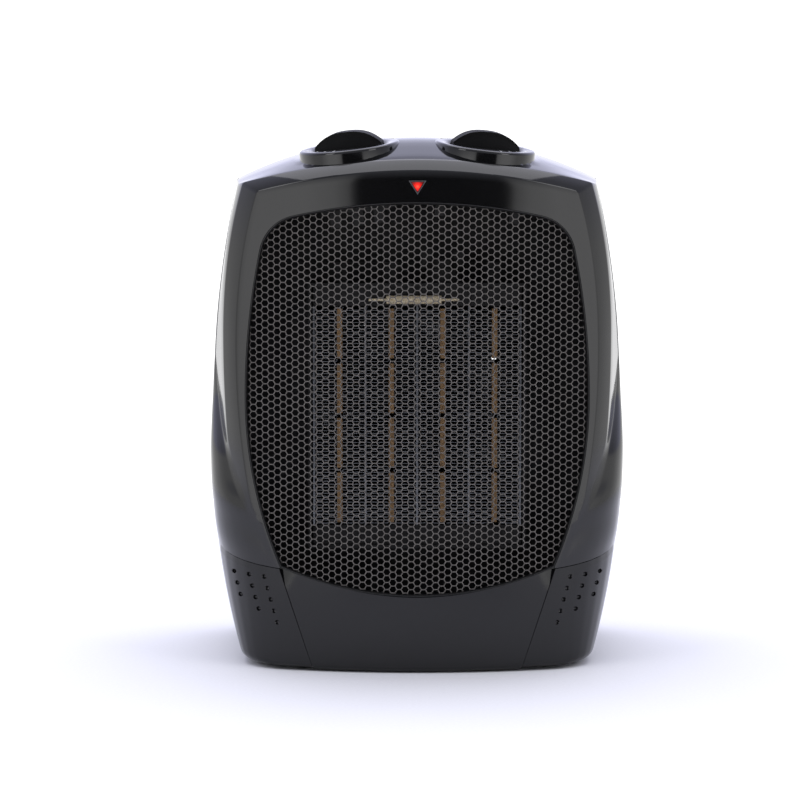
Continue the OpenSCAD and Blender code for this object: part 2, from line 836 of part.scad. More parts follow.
module fan_impeller() {
    color("#d9d7cf") at_fan(hub_y) difference() {
        union() {
            difference() {
                cylinder(hub_deep, r = hub_r, $fn = 64);
                translate([0, 0, 3]) cylinder(hub_deep, r = hub_r - 2, $fn = 64);
            }
            cylinder(hub_deep - 1, r = 4);
            intersection() {
                cylinder(hub_deep, r = fan_r, $fn = 96);
                difference() {
                    for (k = [0:blade_count - 1]) rotate([0, 0, k * 360 / blade_count])
                        translate([hub_r - 1, 0, hub_deep / 2]) rotate([28, 0, 0]) translate([0, -14, -0.9])
                            cube([fan_r, 28, 1.8]);
                    translate([0, 0, -1]) cylinder(hub_deep + 2, r = hub_r - 1, $fn = 64);
                }
            }
        }
        translate([0, 0, -1]) cylinder(hub_deep + 2, r = shaft_r);
    }
}

// ---------- motor ----------
bridge_gap = 6;
bridge_t = 2;
bridge_y = spider_y + spider_t;
stator_y = bridge_y + bridge_t + bridge_gap;
rear_bridge_y = stator_y + stack_t + bridge_gap;
motor_screw_x = 20;
air_gap = 0.4;
pole_half_w = 25;
pole_half_h = 17;
coil_leg_z = -42;
leg_t = 10;

module motor_shaft() {
    color("#c8c8cc") at_fan(hub_y) cylinder(rear_bridge_y + bridge_t + 5 - hub_y, r = shaft_r, $fn = 32);
}

module motor_rotor() {
    color("#8a8c90") at_fan(stator_y) difference() {
        cylinder(stack_t, r = rotor_r);
        translate([0, 0, -1]) cylinder(stack_t + 2, r = shaft_r, $fn = 32);
    }
}

module motor_stator() {
    low = coil_leg_z - leg_t / 2;
    color("#6e7074") translate([0, stator_y, core_z]) difference() {
        translate([-pole_half_w, 0, low]) cube([2 * pole_half_w, stack_t, pole_half_h - low]);
        translate([-pole_half_w + leg_t, -1, coil_leg_z + leg_t / 2])
            cube([2 * (pole_half_w - leg_t), stack_t + 2, -pole_half_h - coil_leg_z - leg_t / 2]);
        translate([0, -1, 0]) rotate([-90, 0, 0]) cylinder(stack_t + 2, r = rotor_r + air_gap);
        for (s = [-1, 1]) translate([s * motor_screw_x, -1, 0]) rotate([-90, 0, 0])
            cylinder(stack_t + 2, r = screw_shank_r);
    }
}

bobbin_half = pole_half_w - leg_t - 0.4;
bobbin_t = 1.2;
bobbin_fit = 0.2;
winding_t = 5;

module motor_bobbin() {
    tube_z = leg_t / 2 + bobbin_t + bobbin_fit;
    tube_y = stack_t / 2 + bobbin_t + bobbin_fit;
    flange_z = tube_z + winding_t - 0.4;
    flange_y = tube_y + winding_t - 0.4;
    color("#e6e0cc") translate([0, stator_y + stack_t / 2, core_z + coil_leg_z]) difference() {
        union() {
            translate([-bobbin_half, -tube_y, -tube_z]) cube([2 * bobbin_half, 2 * tube_y, 2 * tube_z]);
            for (x = [-bobbin_half, bobbin_half - bobbin_t])
                translate([x, -flange_y, -flange_z]) cube([bobbin_t, 2 * flange_y, 2 * flange_z]);
        }
        translate([-pole_half_w, -stack_t / 2 - bobbin_fit, -leg_t / 2 - bobbin_fit])
            cube([2 * pole_half_w, stack_t + 2 * bobbin_fit, leg_t + 2 * bobbin_fit]);
    }
}

module motor_winding() {
    inner_z = leg_t / 2 + bobbin_t + bobbin_fit;
    inner_y = stack_t / 2 + bobbin_t + bobbin_fit;
    half = bobbin_half - bobbin_t;
    color("#a5581f") translate([0, stator_y + stack_t / 2, core_z + coil_leg_z]) difference() {
        translate([-half, -inner_y - winding_t + 1, -inner_z - winding_t + 1])
            cube([2 * half, 2 * (inner_y + winding_t - 1), 2 * (inner_z + winding_t - 1)]);
        translate([-half - 1, -inner_y, -inner_z]) cube([2 * half + 2, 2 * inner_y, 2 * inner_z]);
    }
}

bush_out_r = 4;

// A die-cast bridge: a bar across the motor's face on two posts, bored for its bush
module bearing_bridge(plate_y, post_y) {
    post_r = 4;
    color("#9c9ea1") difference() {
        union() {
            at_fan(plate_y) translate([-motor_screw_x - post_r, -6, 0])
                cube([2 * (motor_screw_x + post_r), 12, bridge_t]);
            for (s = [-1, 1]) translate([s * motor_screw_x, 0, 0]) at_fan(post_y)
                cylinder(bridge_gap, r = post_r);
        }
        at_fan(plate_y - 1) cylinder(bridge_t + 2, r = bush_out_r);
        for (s = [-1, 1]) translate([s * motor_screw_x, 0, 0]) at_fan(min(plate_y, post_y) - 1)
            cylinder(bridge_gap + bridge_t + 2, r = screw_shank_r);
    }
}

module bearing_bushes() {
    color("#b98a4a") for (y = [bridge_y, rear_bridge_y]) at_fan(y) difference() {
        cylinder(bridge_t, r = bush_out_r, $fn = 48);
        translate([0, 0, -1]) cylinder(bridge_t + 2, r = shaft_r + run_gap, $fn = 48);
    }
}

module motor_screws() {
    color("#b8b8bc") for (s = [-1, 1]) translate([s * motor_screw_x, 0, 0]) at_fan(rear_bridge_y + bridge_t)
        screw(rear_bridge_y + bridge_t - spider_y);
}

// ---------- fasteners, feet and inlet ----------
foot_recess = 1;
foot_places = [for (s = [-1, 1]) for (y = [front_y + 30, rear_y - 18]) [s * 50, y]];

module rubber_feet() {
    color("#202022") for (f = foot_places) translate([f[0], f[1], 0]) {
        cylinder(1, r1 = foot_r - 1, r2 = foot_r);
        translate([0, 0, 1]) cylinder(skirt_z + foot_recess - 1, r = foot_r);
    }
}

module base_screws() {
    color("#8f9194") for (s = [-1, 1]) for (y = [front_post_y, rear_post_y])
        translate([s * post_x, y, skirt_z + base_sink]) rotate([180, 0, 0]) screw(base_screw_len);
}

module case_screws() {
    color("#8f9194") for (p = boss_places)
        translate([p[0], case_screw_y, p[1]]) rotate([-90, 0, 0]) screw(case_screw_len);
}

cord_r = 3.6;
gland_len = 16;

module cord_gland() {
    color("#1a1a1c") translate([gland_x, rear_y, gland_z]) rotate([90, 0, 0]) difference() {
        union() {
            cylinder(gland_flange_t, r = gland_flange_r);
            cylinder(gland_len, r = gland_r);
            translate([0, 0, shell_t + 2]) cylinder(gland_len - shell_t - 2, r = gland_r + 1.2);
        }
        translate([0, 0, -1]) cylinder(gland_len + 2, r = cord_r);
    }
}

module terminal_block() {
    ways = 3;
    way = 9;
    color("#ddd8c6") translate([-48, rear_y - 42, floor_z]) difference() {
        cube([ways * way, 16, 14]);
        for (k = [0:ways - 1]) {
            translate([(k + 0.5) * way, 4.5, 6]) cylinder(9, r = 2, $fn = 24);
            translate([(k + 0.5) * way, 11.5, 6]) cylinder(9, r = 2, $fn = 24);
            translate([(k + 0.5) * way, -1, 4]) rotate([-90, 0, 0]) cylinder(18, r = 1.6, $fn = 24);
        }
    }
}

// ---------- tip-over switch ----------
tip_house_w = 18;
chamber_r = plunger_r + 2.2;
collar_half = plunger_r + 1.6;
chamber_low = floor_z + 2;
chamber_high = chamber_low + tip_travel + 10;
house_top = chamber_high + 2;
collar_z = chamber_low + tip_travel + 0.6;
plunger_top = house_top + tip_travel + 2;
plunger_foot = 0.4;
lever_gap = 0.4;
lever_t = 0.5;
lever_r = 20;
lever_z = plunger_top + lever_gap;
micro_low = lever_z + lever_t + 1.6;

module tipover_housing() {
    color("#e4e2da") translate([tip_x, tip_y, 0]) difference() {
        union() {
            translate([-tip_house_w / 2, -tip_house_w / 2, floor_z])
                cube([tip_house_w, tip_house_w, house_top - floor_z]);
            translate([-lever_r - 8, -6, floor_z]) cube([3, 12, micro_low + 8 - floor_z]);
            translate([-lever_r - 8, -6, floor_z]) cube([lever_r, 12, 2]);
        }
        translate([0, 0, floor_z - 1]) cylinder(house_top, r = plunger_r + run_gap);
        translate([0, 0, chamber_low]) cylinder(chamber_high - chamber_low, r = chamber_r);
    }
}

module tipover_plunger() {
    color("#d23a2a") translate([tip_x, tip_y, 0]) {
        translate([0, 0, plunger_foot]) cylinder(plunger_top - plunger_foot, r = plunger_r);
        translate([0, 0, collar_z]) cylinder(1.6, r = collar_half);
    }
}

spring_wire_r = 0.4;
spring_turns = 4;
spring_r = plunger_r + 1;

// Coil swept as a polyhedron of eight-sided rings about the plunger
module tipover_spring() {
    low = collar_z + 1.6 + spring_wire_r;
    high = chamber_high - spring_wire_r;
    steps = 64;
    sides = 8;
    points = [for (k = [0:steps]) for (j = [0:sides - 1])
        let (a = 360 * spring_turns * k / steps, b = 360 * j / sides,
             r = spring_r + spring_wire_r * cos(b))
        [r * cos(a), r * sin(a), low + (high - low) * k / steps + spring_wire_r * sin(b)]];
    walls = [for (k = [0:steps - 1]) for (j = [0:sides - 1])
        let (n = (j + 1) % sides) [k * sides + n, (k + 1) * sides + n, (k + 1) * sides + j, k * sides + j]];
    ends = [[for (j = [0:sides - 1]) j],
            [for (j = [0:sides - 1]) (steps + 1) * sides - 1 - j]];
    color("#c4c6c9") translate([tip_x, tip_y, 0]) polyhedron(points, concat(walls, ends));
}

module tipover_switch() {
    color("#262628") translate([tip_x - lever_r - 5, tip_y - 3.2, micro_low]) cube([20, 6.4, 10]);
    color("#c8b27a") for (x = [-2, 5, 12])
        translate([tip_x - lever_r - 2 + x, tip_y - 1.6, micro_low + 10]) cube([0.6, 3.2, 4]);
}

module tipover_lever() {
    color("#c4c6c9") translate([tip_x, tip_y, lever_z]) {
        translate([-lever_r, -2.4, 0]) cube([lever_r + 3, 4.8, lever_t]);
        translate([-lever_r, 2.4, 0.6]) rotate([90, 0, 0]) cylinder(4.8, r = 0.8, $fn = 24);
    }
}

front_shell();
rear_shell();
base_tub();
tongue_panel();
grille_bezel();
front_grille();
dial_ring(-1);  // dial_ring_left
dial_ring(1);  // dial_ring_right
knob(-1);  // mode_knob
knob(1);  // thermostat_knob
indicator_lens();
indicator_lamp();
rubber_feet();
base_screws();
case_screws();
cord_gland();
ptc_stones();
heater_fins();
divider_plates();
element_cap(core_low + core_h);  // element_cap_upper
element_cap(core_low - cap_h);  // element_cap_lower
element_terminals();
heat_duct();
thermal_fuse();
thermal_cutout();
fan_shroud();
fan_spider();
fan_impeller();
motor_shaft();
motor_rotor();
motor_stator();
motor_bobbin();
motor_winding();
bearing_bridge(bridge_y, bridge_y + bridge_t);  // front_bearing_bridge
bearing_bridge(rear_bridge_y, rear_bridge_y - bridge_gap);  // rear_bearing_bridge
bearing_bushes();
motor_screws();
mode_switch();
spindle(-1);  // mode_spindle
thermostat_body();
spindle(1);  // thermostat_spindle
control_nuts();
terminal_block();
tipover_housing();
tipover_plunger();
tipover_spring();
tipover_switch();
tipover_lever();
duct_screws();
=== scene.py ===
"""Looks of a ceramic space heater: gloss black case, honeycomb grille over a PTC element, two top dials."""
import math

import bpy
from mathutils import Matrix, Vector


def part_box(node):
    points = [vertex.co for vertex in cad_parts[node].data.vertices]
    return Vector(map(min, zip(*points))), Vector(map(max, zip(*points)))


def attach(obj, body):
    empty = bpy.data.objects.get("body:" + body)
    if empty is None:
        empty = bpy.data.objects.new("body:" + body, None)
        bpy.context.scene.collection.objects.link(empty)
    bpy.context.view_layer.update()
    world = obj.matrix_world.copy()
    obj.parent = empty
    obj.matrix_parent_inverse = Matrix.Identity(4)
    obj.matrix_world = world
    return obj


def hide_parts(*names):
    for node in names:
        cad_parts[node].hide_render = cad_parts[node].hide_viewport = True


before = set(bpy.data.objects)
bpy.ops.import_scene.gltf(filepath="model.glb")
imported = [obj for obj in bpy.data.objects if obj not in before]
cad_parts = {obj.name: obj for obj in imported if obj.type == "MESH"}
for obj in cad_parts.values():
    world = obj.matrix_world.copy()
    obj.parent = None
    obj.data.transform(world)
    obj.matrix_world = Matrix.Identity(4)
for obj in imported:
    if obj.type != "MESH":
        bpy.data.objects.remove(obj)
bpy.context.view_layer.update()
MM = 0.001
HOUSING = "housing"


# ---------------------------------------------------------------- small tools
def lerp(a, b, f):
    return a + (b - a) * f


def drop(distance, radius):
    """How far a circle of this radius falls away at this distance from its crown."""
    return radius - math.sqrt(max(radius * radius - distance * distance, 0.0))


def smooth(f):
    f = min(max(f, 0.0), 1.0)
    return f * f * (3 - 2 * f)


def through(points, at):
    """A smooth curve through a few (place, value) points, read at a place."""
    if at <= points[0][0]:
        return points[0][1]
    for k in range(len(points) - 1):
        (a, va), (b, vb) = points[k], points[k + 1]
        if at <= b:
            before = points[max(k - 1, 0)]
            after = points[min(k + 2, len(points) - 1)]
            slope_a = (vb - before[1]) / (b - before[0])
            slope_b = (after[1] - va) / (after[0] - a)
            f = (at - a) / (b - a)
            h = b - a
            return ((2 * f**3 - 3 * f**2 + 1) * va + (f**3 - 2 * f**2 + f) * h * slope_a
                    + (3 * f**2 - 2 * f**3) * vb + (f**3 - f**2) * h * slope_b)
    return points[-1][1]


def bezier(p0, p1, p2, p3, f):
    g = 1 - f
    return tuple(g**3 * a + 3 * g * g * f * b + 3 * g * f * f * c + f**3 * d
                 for a, b, c, d in zip(p0, p1, p2, p3))


def box_mm(name):
    """A CAD node's lowest and highest corners, in millimetres."""
    low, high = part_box(name)
    return Vector(low) / MM, Vector(high) / MM


def deselect():
    if bpy.context.object and bpy.context.object.mode == "EDIT":
        bpy.ops.object.mode_set(mode="OBJECT")
    bpy.ops.object.select_all(action="DESELECT")


def only(obj):
    deselect()
    obj.select_set(True)
    bpy.context.view_layer.objects.active = obj


def settle(obj):
    """Puts a piece's place, turn and size into its mesh."""
    only(obj)
    bpy.ops.object.transform_apply(location=True, rotation=True, scale=True)
    return obj


def modify(obj, kind, **settings):
    """Adds a modifier, sets it and applies it."""
    only(obj)
    modifier = obj.modifiers.new(kind.lower(), kind)
    for name, value in settings.items():
        setattr(modifier, name, value)
    bpy.ops.object.modifier_apply(modifier=modifier.name)
    return obj


def soften(obj, width, segments=2, angle=35):
    return modify(obj, "BEVEL", width=width * MM, segments=segments, limit_method="ANGLE",
                  angle_limit=math.radians(angle), harden_normals=False)


def shade(obj, angle=32):
    only(obj)
    bpy.ops.object.shade_smooth_by_angle(angle=math.radians(angle))
    return obj


def outward(obj):
    only(obj)
    bpy.ops.object.mode_set(mode="EDIT")
    bpy.ops.mesh.select_all(action="SELECT")
    bpy.ops.mesh.remove_doubles(threshold=0.00001)
    bpy.ops.mesh.normals_make_consistent(inside=False)
    bpy.ops.object.mode_set(mode="OBJECT")
    return obj


def join(name, pieces):
    deselect()
    for piece in pieces:
        piece.select_set(True)
    bpy.context.view_layer.objects.active = pieces[0]
    if len(pieces) > 1:
        bpy.ops.object.join()
    whole = bpy.context.object
    whole.name = name
    return whole


def copy_of(obj, matrix):
    """A copy with its own mesh, moved by a matrix."""
    twin = obj.copy()
    twin.data = obj.data.copy()
    bpy.context.collection.objects.link(twin)
    twin.data.transform(matrix)
    return twin


def finish_piece(obj, name, material, nodes=(), body=HOUSING, angle=32):
    obj.name = name
    obj.data.name = name
    obj.data.materials.clear()
    obj.data.materials.append(material)
    shade(obj, angle)
    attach(obj, body)
    if nodes:
        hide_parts(*nodes)
    return obj


def skin(name, columns, rows, place):
    """A grid primitive laid over a formed surface: place(column, row) gives each point in millimetres."""
    deselect()
    bpy.ops.mesh.primitive_grid_add(x_subdivisions=columns, y_subdivisions=rows, size=1)
    obj = bpy.context.object
    obj.name = name
    for vertex in obj.data.vertices:
        column = round((vertex.co.x + 0.5) * columns)
        row = round((vertex.co.y + 0.5) * rows)
        vertex.co = Vector(place(column, row)) * MM
    return obj


def wall(obj, thickness):
    """Gives an outer skin its wall, on the inner side."""
    return modify(obj, "SOLIDIFY", thickness=thickness * MM, offset=-1.0, use_even_offset=False)


# ---------------------------------------------------------------- materials
def linear(code):
    """An sRGB hex colour as linear RGBA."""
    parts = [int(code[k:k + 2], 16) / 255 for k in (1, 3, 5)]
    return [c / 12.92 if c <= 0.04045 else ((c + 0.055) / 1.055) ** 2.4 for c in parts] + [1.0]


def add(tree, kind, settings=None, **inputs):
    """Adds a node, with its settings, and its inputs as values or as (node, output) links."""
    node = tree.nodes.new("ShaderNode" + kind)
    for name, value in (settings or {}).items():
        setattr(node, name, value)
    for name, value in inputs.items():
        spaced = name.replace("_", " ")
        socket = node.inputs[spaced if spaced in node.inputs else name]
        if isinstance(value, tuple) and len(value) == 2 and hasattr(value[0], "outputs"):
            tree.links.new(value[0].outputs[value[1]], socket)
        else:
            socket.default_value = value
    return node


def new_material(name):
    material = bpy.data.materials.new(name)
    material.use_nodes = True
    tree = material.node_tree
    return material, tree, tree.nodes["Principled BSDF"]


def speckled(name, light, dark, grain_mm, roughness, bump_mm=0.0, spread=0.06, metallic=0.0, ior=None,
             specular=None):
    """A moulded or rolled surface: two close tones in a fine grain, with roughness that follows the grain."""
    material, tree, shader = new_material(name)
    place = add(tree, "TexCoord")
    grain = add(tree, "TexNoise", Vector=(place, "Object"), Scale=1 / (grain_mm * MM), Detail=3.0,
                Roughness=0.55)
    broad = add(tree, "TexNoise", Vector=(place, "Object"), Scale=1 / (grain_mm * 40 * MM), Detail=2.0)
    tone = add(tree, "ValToRGB", Fac=(grain, "Fac"))
    tone.color_ramp.elements[0].color = linear(dark)
    tone.color_ramp.elements[1].color = linear(light)
    tone.color_ramp.elements[0].position = 0.3
    tone.color_ramp.elements[1].position = 0.7
    gloss = add(tree, "MapRange", Value=(broad, "Fac"), From_Min=0.3, From_Max=0.7,
                To_Min=max(roughness - spread, 0.02), To_Max=roughness + spread)
    tree.links.new(tone.outputs["Color"], shader.inputs["Base Color"])
    tree.links.new(gloss.outputs["Result"], shader.inputs["Roughness"])
    shader.inputs["Metallic"].default_value = metallic
    if ior:
        shader.inputs["IOR"].default_value = ior
    if specular:
        shader.inputs["Specular IOR Level"].default_value = specular
    if bump_mm:
        bump = add(tree, "Bump", Height=(grain, "Fac"), Strength=1.0, Distance=bump_mm * MM)
        tree.links.new(bump.outputs["Normal"], shader.inputs["Normal"])
    return material


def make_materials():
    made = {}
    # High-gloss black ABS: a deep tone under a hard polish, so that it shows mostly what it reflects
    made["gloss_abs"] = speckled("gloss_black_abs", "#0d0d0e", "#080809", 1.2, 0.07, 0.0006, 0.025, ior=1.5)
    # The same ABS on the base, from a tool with a softer polish
    made["base_abs"] = speckled("base_black_abs", "#0d0d0e", "#080809", 1.2, 0.12, 0.0006, 0.03,
                                specular=0.38)
    # Spark-eroded black ABS: a fine even grain that kills the reflections
    made["grained_abs"] = speckled("grained_black_abs", "#1b1b1c", "#121213", 0.35, 0.42, 0.012, 0.05,
                                   ior=1.5)
    # Black PBT of the bezel: half matt, a little lighter at the grazing edge
    made["bezel_pbt"] = speckled("bezel_black_pbt", "#0a0a0b", "#060607", 0.5, 0.4, 0.004, 0.05, specular=0.5)
    # PBT of the honeycomb, black in itself, coloured mid grey as a painted highlight: the grey stands for the
    # thin line of light each satin strand catches
    made["mesh_pbt"] = speckled("mesh_pbt_painted_highlight", "#8a8682", "#635f5c", 0.6, 0.34, 0.003, 0.06, ior=1.5)
    # Matt black ABS of the knobs: a deep spark finish that gives back little light
    made["knob_abs"] = speckled("knob_matt_abs", "#0c0c0d", "#070708", 0.25, 0.6, 0.006, 0.05, specular=0.14)
    # White marking ink: matt and slightly uneven
    made["ink"] = speckled("marking_ink", "#e8e8e6", "#c9c9c6", 0.3, 0.5, 0.0, 0.05)
    # Black nitrile rubber of the feet
    made["rubber"] = speckled("foot_rubber", "#232324", "#171718", 0.3, 0.75, 0.02, 0.08)
    # Soft black PVC of the cord gland
    made["pvc"] = speckled("gland_pvc", "#1a1a1b", "#111112", 0.3, 0.5, 0.01, 0.06)
    # Zinc-plated steel of the screws
    made["zinc"] = speckled("zinc_plated_steel", "#b9bcc0", "#8f9297", 0.2, 0.32, 0.004, 0.08, metallic=1.0)
    # Unglazed barium titanate: dry tan ceramic with darker firing marks
    made["ceramic"] = speckled("ptc_ceramic", "#93734b", "#675036", 0.9, 0.7, 0.02, 0.06)
    # Thin rolled aluminium of the fins, dulled by heat
    made["fin"] = speckled("fin_aluminium", "#9a9c9f", "#66686b", 0.3, 0.36, 0.004, 0.08, metallic=1.0)
    # Galvanised sheet steel of the bridges: dull spangle
    made["galvanised"] = speckled("galvanised_steel", "#8d9093", "#5f6265", 2.5, 0.45, 0.004, 0.1,
                                  metallic=1.0)
    # Steel of the duct, its screws and the element's tabs, coloured near black as painted shade: the black
    # stands for the darkness inside the case
    made["painted_shade_black"] = speckled("steel_painted_shade_black", "#121111", "#080808", 1.5, 0.6, 0.004, 0.1, specular=0.35)
    # Black phenolic of the control housings
    made["phenolic"] = speckled("black_phenolic", "#161514", "#0d0c0c", 0.4, 0.4, 0.01, 0.06)
    # Black glass-filled PPS of the element caps and the shroud, its tone darkened further as painted shade
    # for the inside of the case
    made["pps"] = speckled("black_pps", "#0f0e0d", "#080707", 0.4, 0.65, 0.02, 0.06, specular=0.35)
    # Cream nylon of switch housings and terminal block
    made["nylon"] = speckled("cream_nylon", "#d8d2bf", "#c3bca7", 0.4, 0.45, 0.01, 0.06)
    # Enamelled copper of the winding
    made["copper"] = speckled("enamelled_copper", "#a5552a", "#6f3314", 0.5, 0.3, 0.03, 0.06, metallic=1.0)
    # Silicon steel laminations
    made["lamination"] = speckled("lamination_steel", "#6f7276", "#494c50", 0.5, 0.5, 0.02, 0.08,
                                  metallic=1.0)
    # Sintered bronze of the bushes
    made["bronze"] = speckled("sintered_bronze", "#a0783f", "#6f5127", 0.25, 0.55, 0.02, 0.08, metallic=1.0)
    # Woven glass-fibre sleeve of the fuse
    made["sleeve"] = speckled("glass_fibre_sleeve", "#ece3cd", "#b79f72", 0.7, 0.65, 0.08, 0.06)
    # Red acetal of the plunger
    made["acetal"] = speckled("red_acetal", "#b5301f", "#8e2014", 0.4, 0.35, 0.004, 0.05)
    # Grey-black ABS of the lens frame
    made["frame_abs"] = speckled("frame_grey_abs", "#4a4a4c", "#39393b", 0.4, 0.3, 0.002, 0.05)
    made["signal"] = signal_lens()
    return made


def signal_lens():
    """Translucent red polycarbonate, lit from behind: bright at the lamp, deep red towards its corners."""
    material, tree, shader = new_material("signal_red")
    low, high = box_mm("indicator_lens")
    place = add(tree, "TexCoord")
    lamp = Vector((0, 0, lerp(high.z, low.z, 0.42))) * MM
    flat = add(tree, "VectorMath", {"operation": "MULTIPLY"}, Vector=(place, "Object"))
    flat.inputs[1].default_value = (1, 0, 1)
    offset = add(tree, "VectorMath", {"operation": "SUBTRACT"}, Vector=(flat, "Vector"))
    offset.inputs[1].default_value = lamp
    reach = add(tree, "VectorMath", {"operation": "LENGTH"}, Vector=(offset, "Vector"))
    fade = add(tree, "MapRange", Value=(reach, "Value"), From_Min=0.0, From_Max=2.6 * MM,
               To_Min=0.0, To_Max=1.0)
    grain = add(tree, "TexNoise", Vector=(place, "Object"), Scale=2200.0, Detail=2.0)
    ramp = add(tree, "ValToRGB", Fac=(fade, "Result"))
    ramp.color_ramp.elements[0].color = linear("#ff5540")
    ramp.color_ramp.elements[1].color = linear("#5a0b08")
    middle = ramp.color_ramp.elements.new(0.4)
    middle.color = linear("#d8201a")
    tree.links.new(ramp.outputs["Color"], shader.inputs["Base Color"])
    tree.links.new(ramp.outputs["Color"], shader.inputs["Emission Color"])
    gloss = add(tree, "MapRange", Value=(grain, "Fac"), From_Min=0.3, From_Max=0.7, To_Min=0.12, To_Max=0.2)
    tree.links.new(gloss.outputs["Result"], shader.inputs["Roughness"])
    shader.inputs["Emission Strength"].default_value = 0.7
    shader.inputs["IOR"].default_value = 1.58
    return material


# ---------------------------------------------------------------- case form
shell_low, shell_high = box_mm("front_shell")
_, rear_high = box_mm("rear_shell")
HALF_W = shell_high.x
FRONT_Y = shell_low.y
SPLIT_Y = shell_high.y
REAR_Y = rear_high.y
WALL = 2.4
FRONT_R = 190
WIDEST_Z = 95
UPPER_SIDE_R = 665
LOWER_SIDE_R = 300
SKIRT_Z = 2.0
TONGUE_Z = 0.8


def front_y(x):
    """Y of the bowed front face."""
    return FRONT_Y + drop(x, FRONT_R)


def side_x(z):
    """Half width of the case's outline, seen from the front."""
    radius = UPPER_SIDE_R if z > WIDEST_Z else LOWER_SIDE_R
    return HALF_W - drop(z - WIDEST_Z, radius)


def seam_z(y):
    """Height of the seam between the upper mouldings and the base."""
    bend_y, front_z, side_z = -12.0, 44.0, 58.0
    return lerp(front_z, side_z, min(max((y - FRONT_Y) / (bend_y - FRONT_Y), 0.0), 1.0))


# The opening: arcs for the sides, top and foot, and a fillet at each upper corner
OPENING_HALF = 78.0
OPENING_MID_Z = 123.0
OPENING_TOP_Z = 212.0
OPENING_FOOT_Z = 34.5
TOP_R, UPPER_R, LOWER_R, FOOT_R, CORNER_R = 250.0, 326.0, 190.0, 164.0, 20.0


def circles_meet(c1, r1, c2, r2, sign):
    v = (c2[0] - c1[0], c2[1] - c1[1])
    d = math.hypot(*v)
    a = (r1 * r1 - r2 * r2 + d * d) / (2 * d)
    h = math.sqrt(max(r1 * r1 - a * a, 0.0))
    return (c1[0] + (a * v[0] - sign * h * v[1]) / d, c1[1] + (a * v[1] + sign * h * v[0]) / d)


TOP_C = (0.0, OPENING_TOP_Z - TOP_R)
UPPER_C = (OPENING_HALF - UPPER_R, OPENING_MID_Z)
LOWER_C = (OPENING_HALF - LOWER_R, OPENING_MID_Z)
FOOT_C = (0.0, OPENING_FOOT_Z + FOOT_R)
FILLET_C = circles_meet(TOP_C, TOP_R - CORNER_R, UPPER_C, UPPER_R - CORNER_R, -1)
LOW_CORNER = circles_meet(LOWER_C, LOWER_R, FOOT_C, FOOT_R, -1)


def angle_from(centre, point):
    return math.atan2(point[1] - centre[1], point[0] - centre[0])


def arc(centre, radius, a, b, count):
    return [(centre[0] + radius * math.cos(lerp(a, b, k / count)),
             centre[1] + radius * math.sin(lerp(a, b, k / count))) for k in range(count + 1)]


FILLET_SIDE_A = angle_from(UPPER_C, FILLET_C)
FILLET_TOP_A = angle_from(TOP_C, FILLET_C)
FILLET_MID_A = (FILLET_SIDE_A + FILLET_TOP_A) / 2


def spread(points, count):
    """The same polyline, read at evenly spaced places."""
    lengths = [0.0]
    for p, q in zip(points, points[1:]):
        lengths.append(lengths[-1] + math.dist(p, q))
    out, k = [], 0
    for n in range(count + 1):
        want = lengths[-1] * n / count
        while k < len(lengths) - 2 and lengths[k + 1] < want:
            k += 1
        f = (want - lengths[k]) / (lengths[k + 1] - lengths[k])
        out.append(tuple(lerp(a, b, f) for a, b in zip(points[k], points[k + 1])))
    return out


def opening_side(inset, count):
    """The opening's edge from its lower corner up to the middle of the upper fillet."""
    corner = circles_meet(LOWER_C, LOWER_R - inset, FOOT_C, FOOT_R - inset, -1)
    path = (arc(LOWER_C, LOWER_R - inset, angle_from(LOWER_C, corner), 0, 30)
            + arc(UPPER_C, UPPER_R - inset, 0, FILLET_SIDE_A, 30)[1:]
            + arc(FILLET_C, CORNER_R - inset, FILLET_SIDE_A, FILLET_MID_A, 12)[1:])
    return spread(path, count)


def opening_top(inset, count):
    """The opening's edge from the middle of the upper fillet to the centre line."""
    path = (arc(FILLET_C, CORNER_R - inset, FILLET_MID_A, FILLET_TOP_A, 12)
            + arc(TOP_C, TOP_R - inset, FILLET_TOP_A, math.pi / 2, 30)[1:])
    return spread(path, count)


def opening_foot(inset, count):
    corner = circles_meet(LOWER_C, LOWER_R - inset, FOOT_C, FOOT_R - inset, -1)
    return arc(FOOT_C, FOOT_R - inset, -math.pi / 2, angle_from(FOOT_C, corner), count)


# Creases of the front: B bounds the face, C bounds the bevelled band beside it
B_CORNER = (72.0, 216.6)
C_CORNER = (78.8, 220.2)
B_TOP_Z, C_TOP_Z = 226.0, 230.6
SWOOSH = [(66.0, 70.0), (68.5, 74.7), (70.4, 77.0), (74.8, 80.3), (81.3, 83.6), (90.4, 86.3),
          (98.0, 88.0), (110.0, 90.6), (126.0, 92.6), (145.0, 94.0)]
TIP_Z = 68.5


def crease_b(z):
    return 82.0 - drop(z - 145.0, 257.0 if z > 145 else 380.0)


def crease_c(z):
    return 88.2 - drop(z - 148.0, 262.0 if z > 148 else 560.0)


SIDE_ROWS, TOP_ROWS = 110, 30
# Radii of the creases and of the upper side corner, and how often the rows round the swoosh are blended
EDGE, CORNER_EDGE = 0.55, 1.6
CALM_ROUNDS = 14


def rounded(before, corner, after, radius):
    """Three points that round a corner of a profile."""
    def towards(p, q):
        length = max(math.dist(p, q), 1e-6)
        f = min(radius / length, 0.4)
        return tuple(lerp(a, b, f) for a, b in zip(p, q))
    first, last = towards(corner, before), towards(corner, after)
    middle = tuple(0.5 * c + 0.25 * (a + b) for a, b, c in zip(first, last, corner))
    return [first, middle, last]


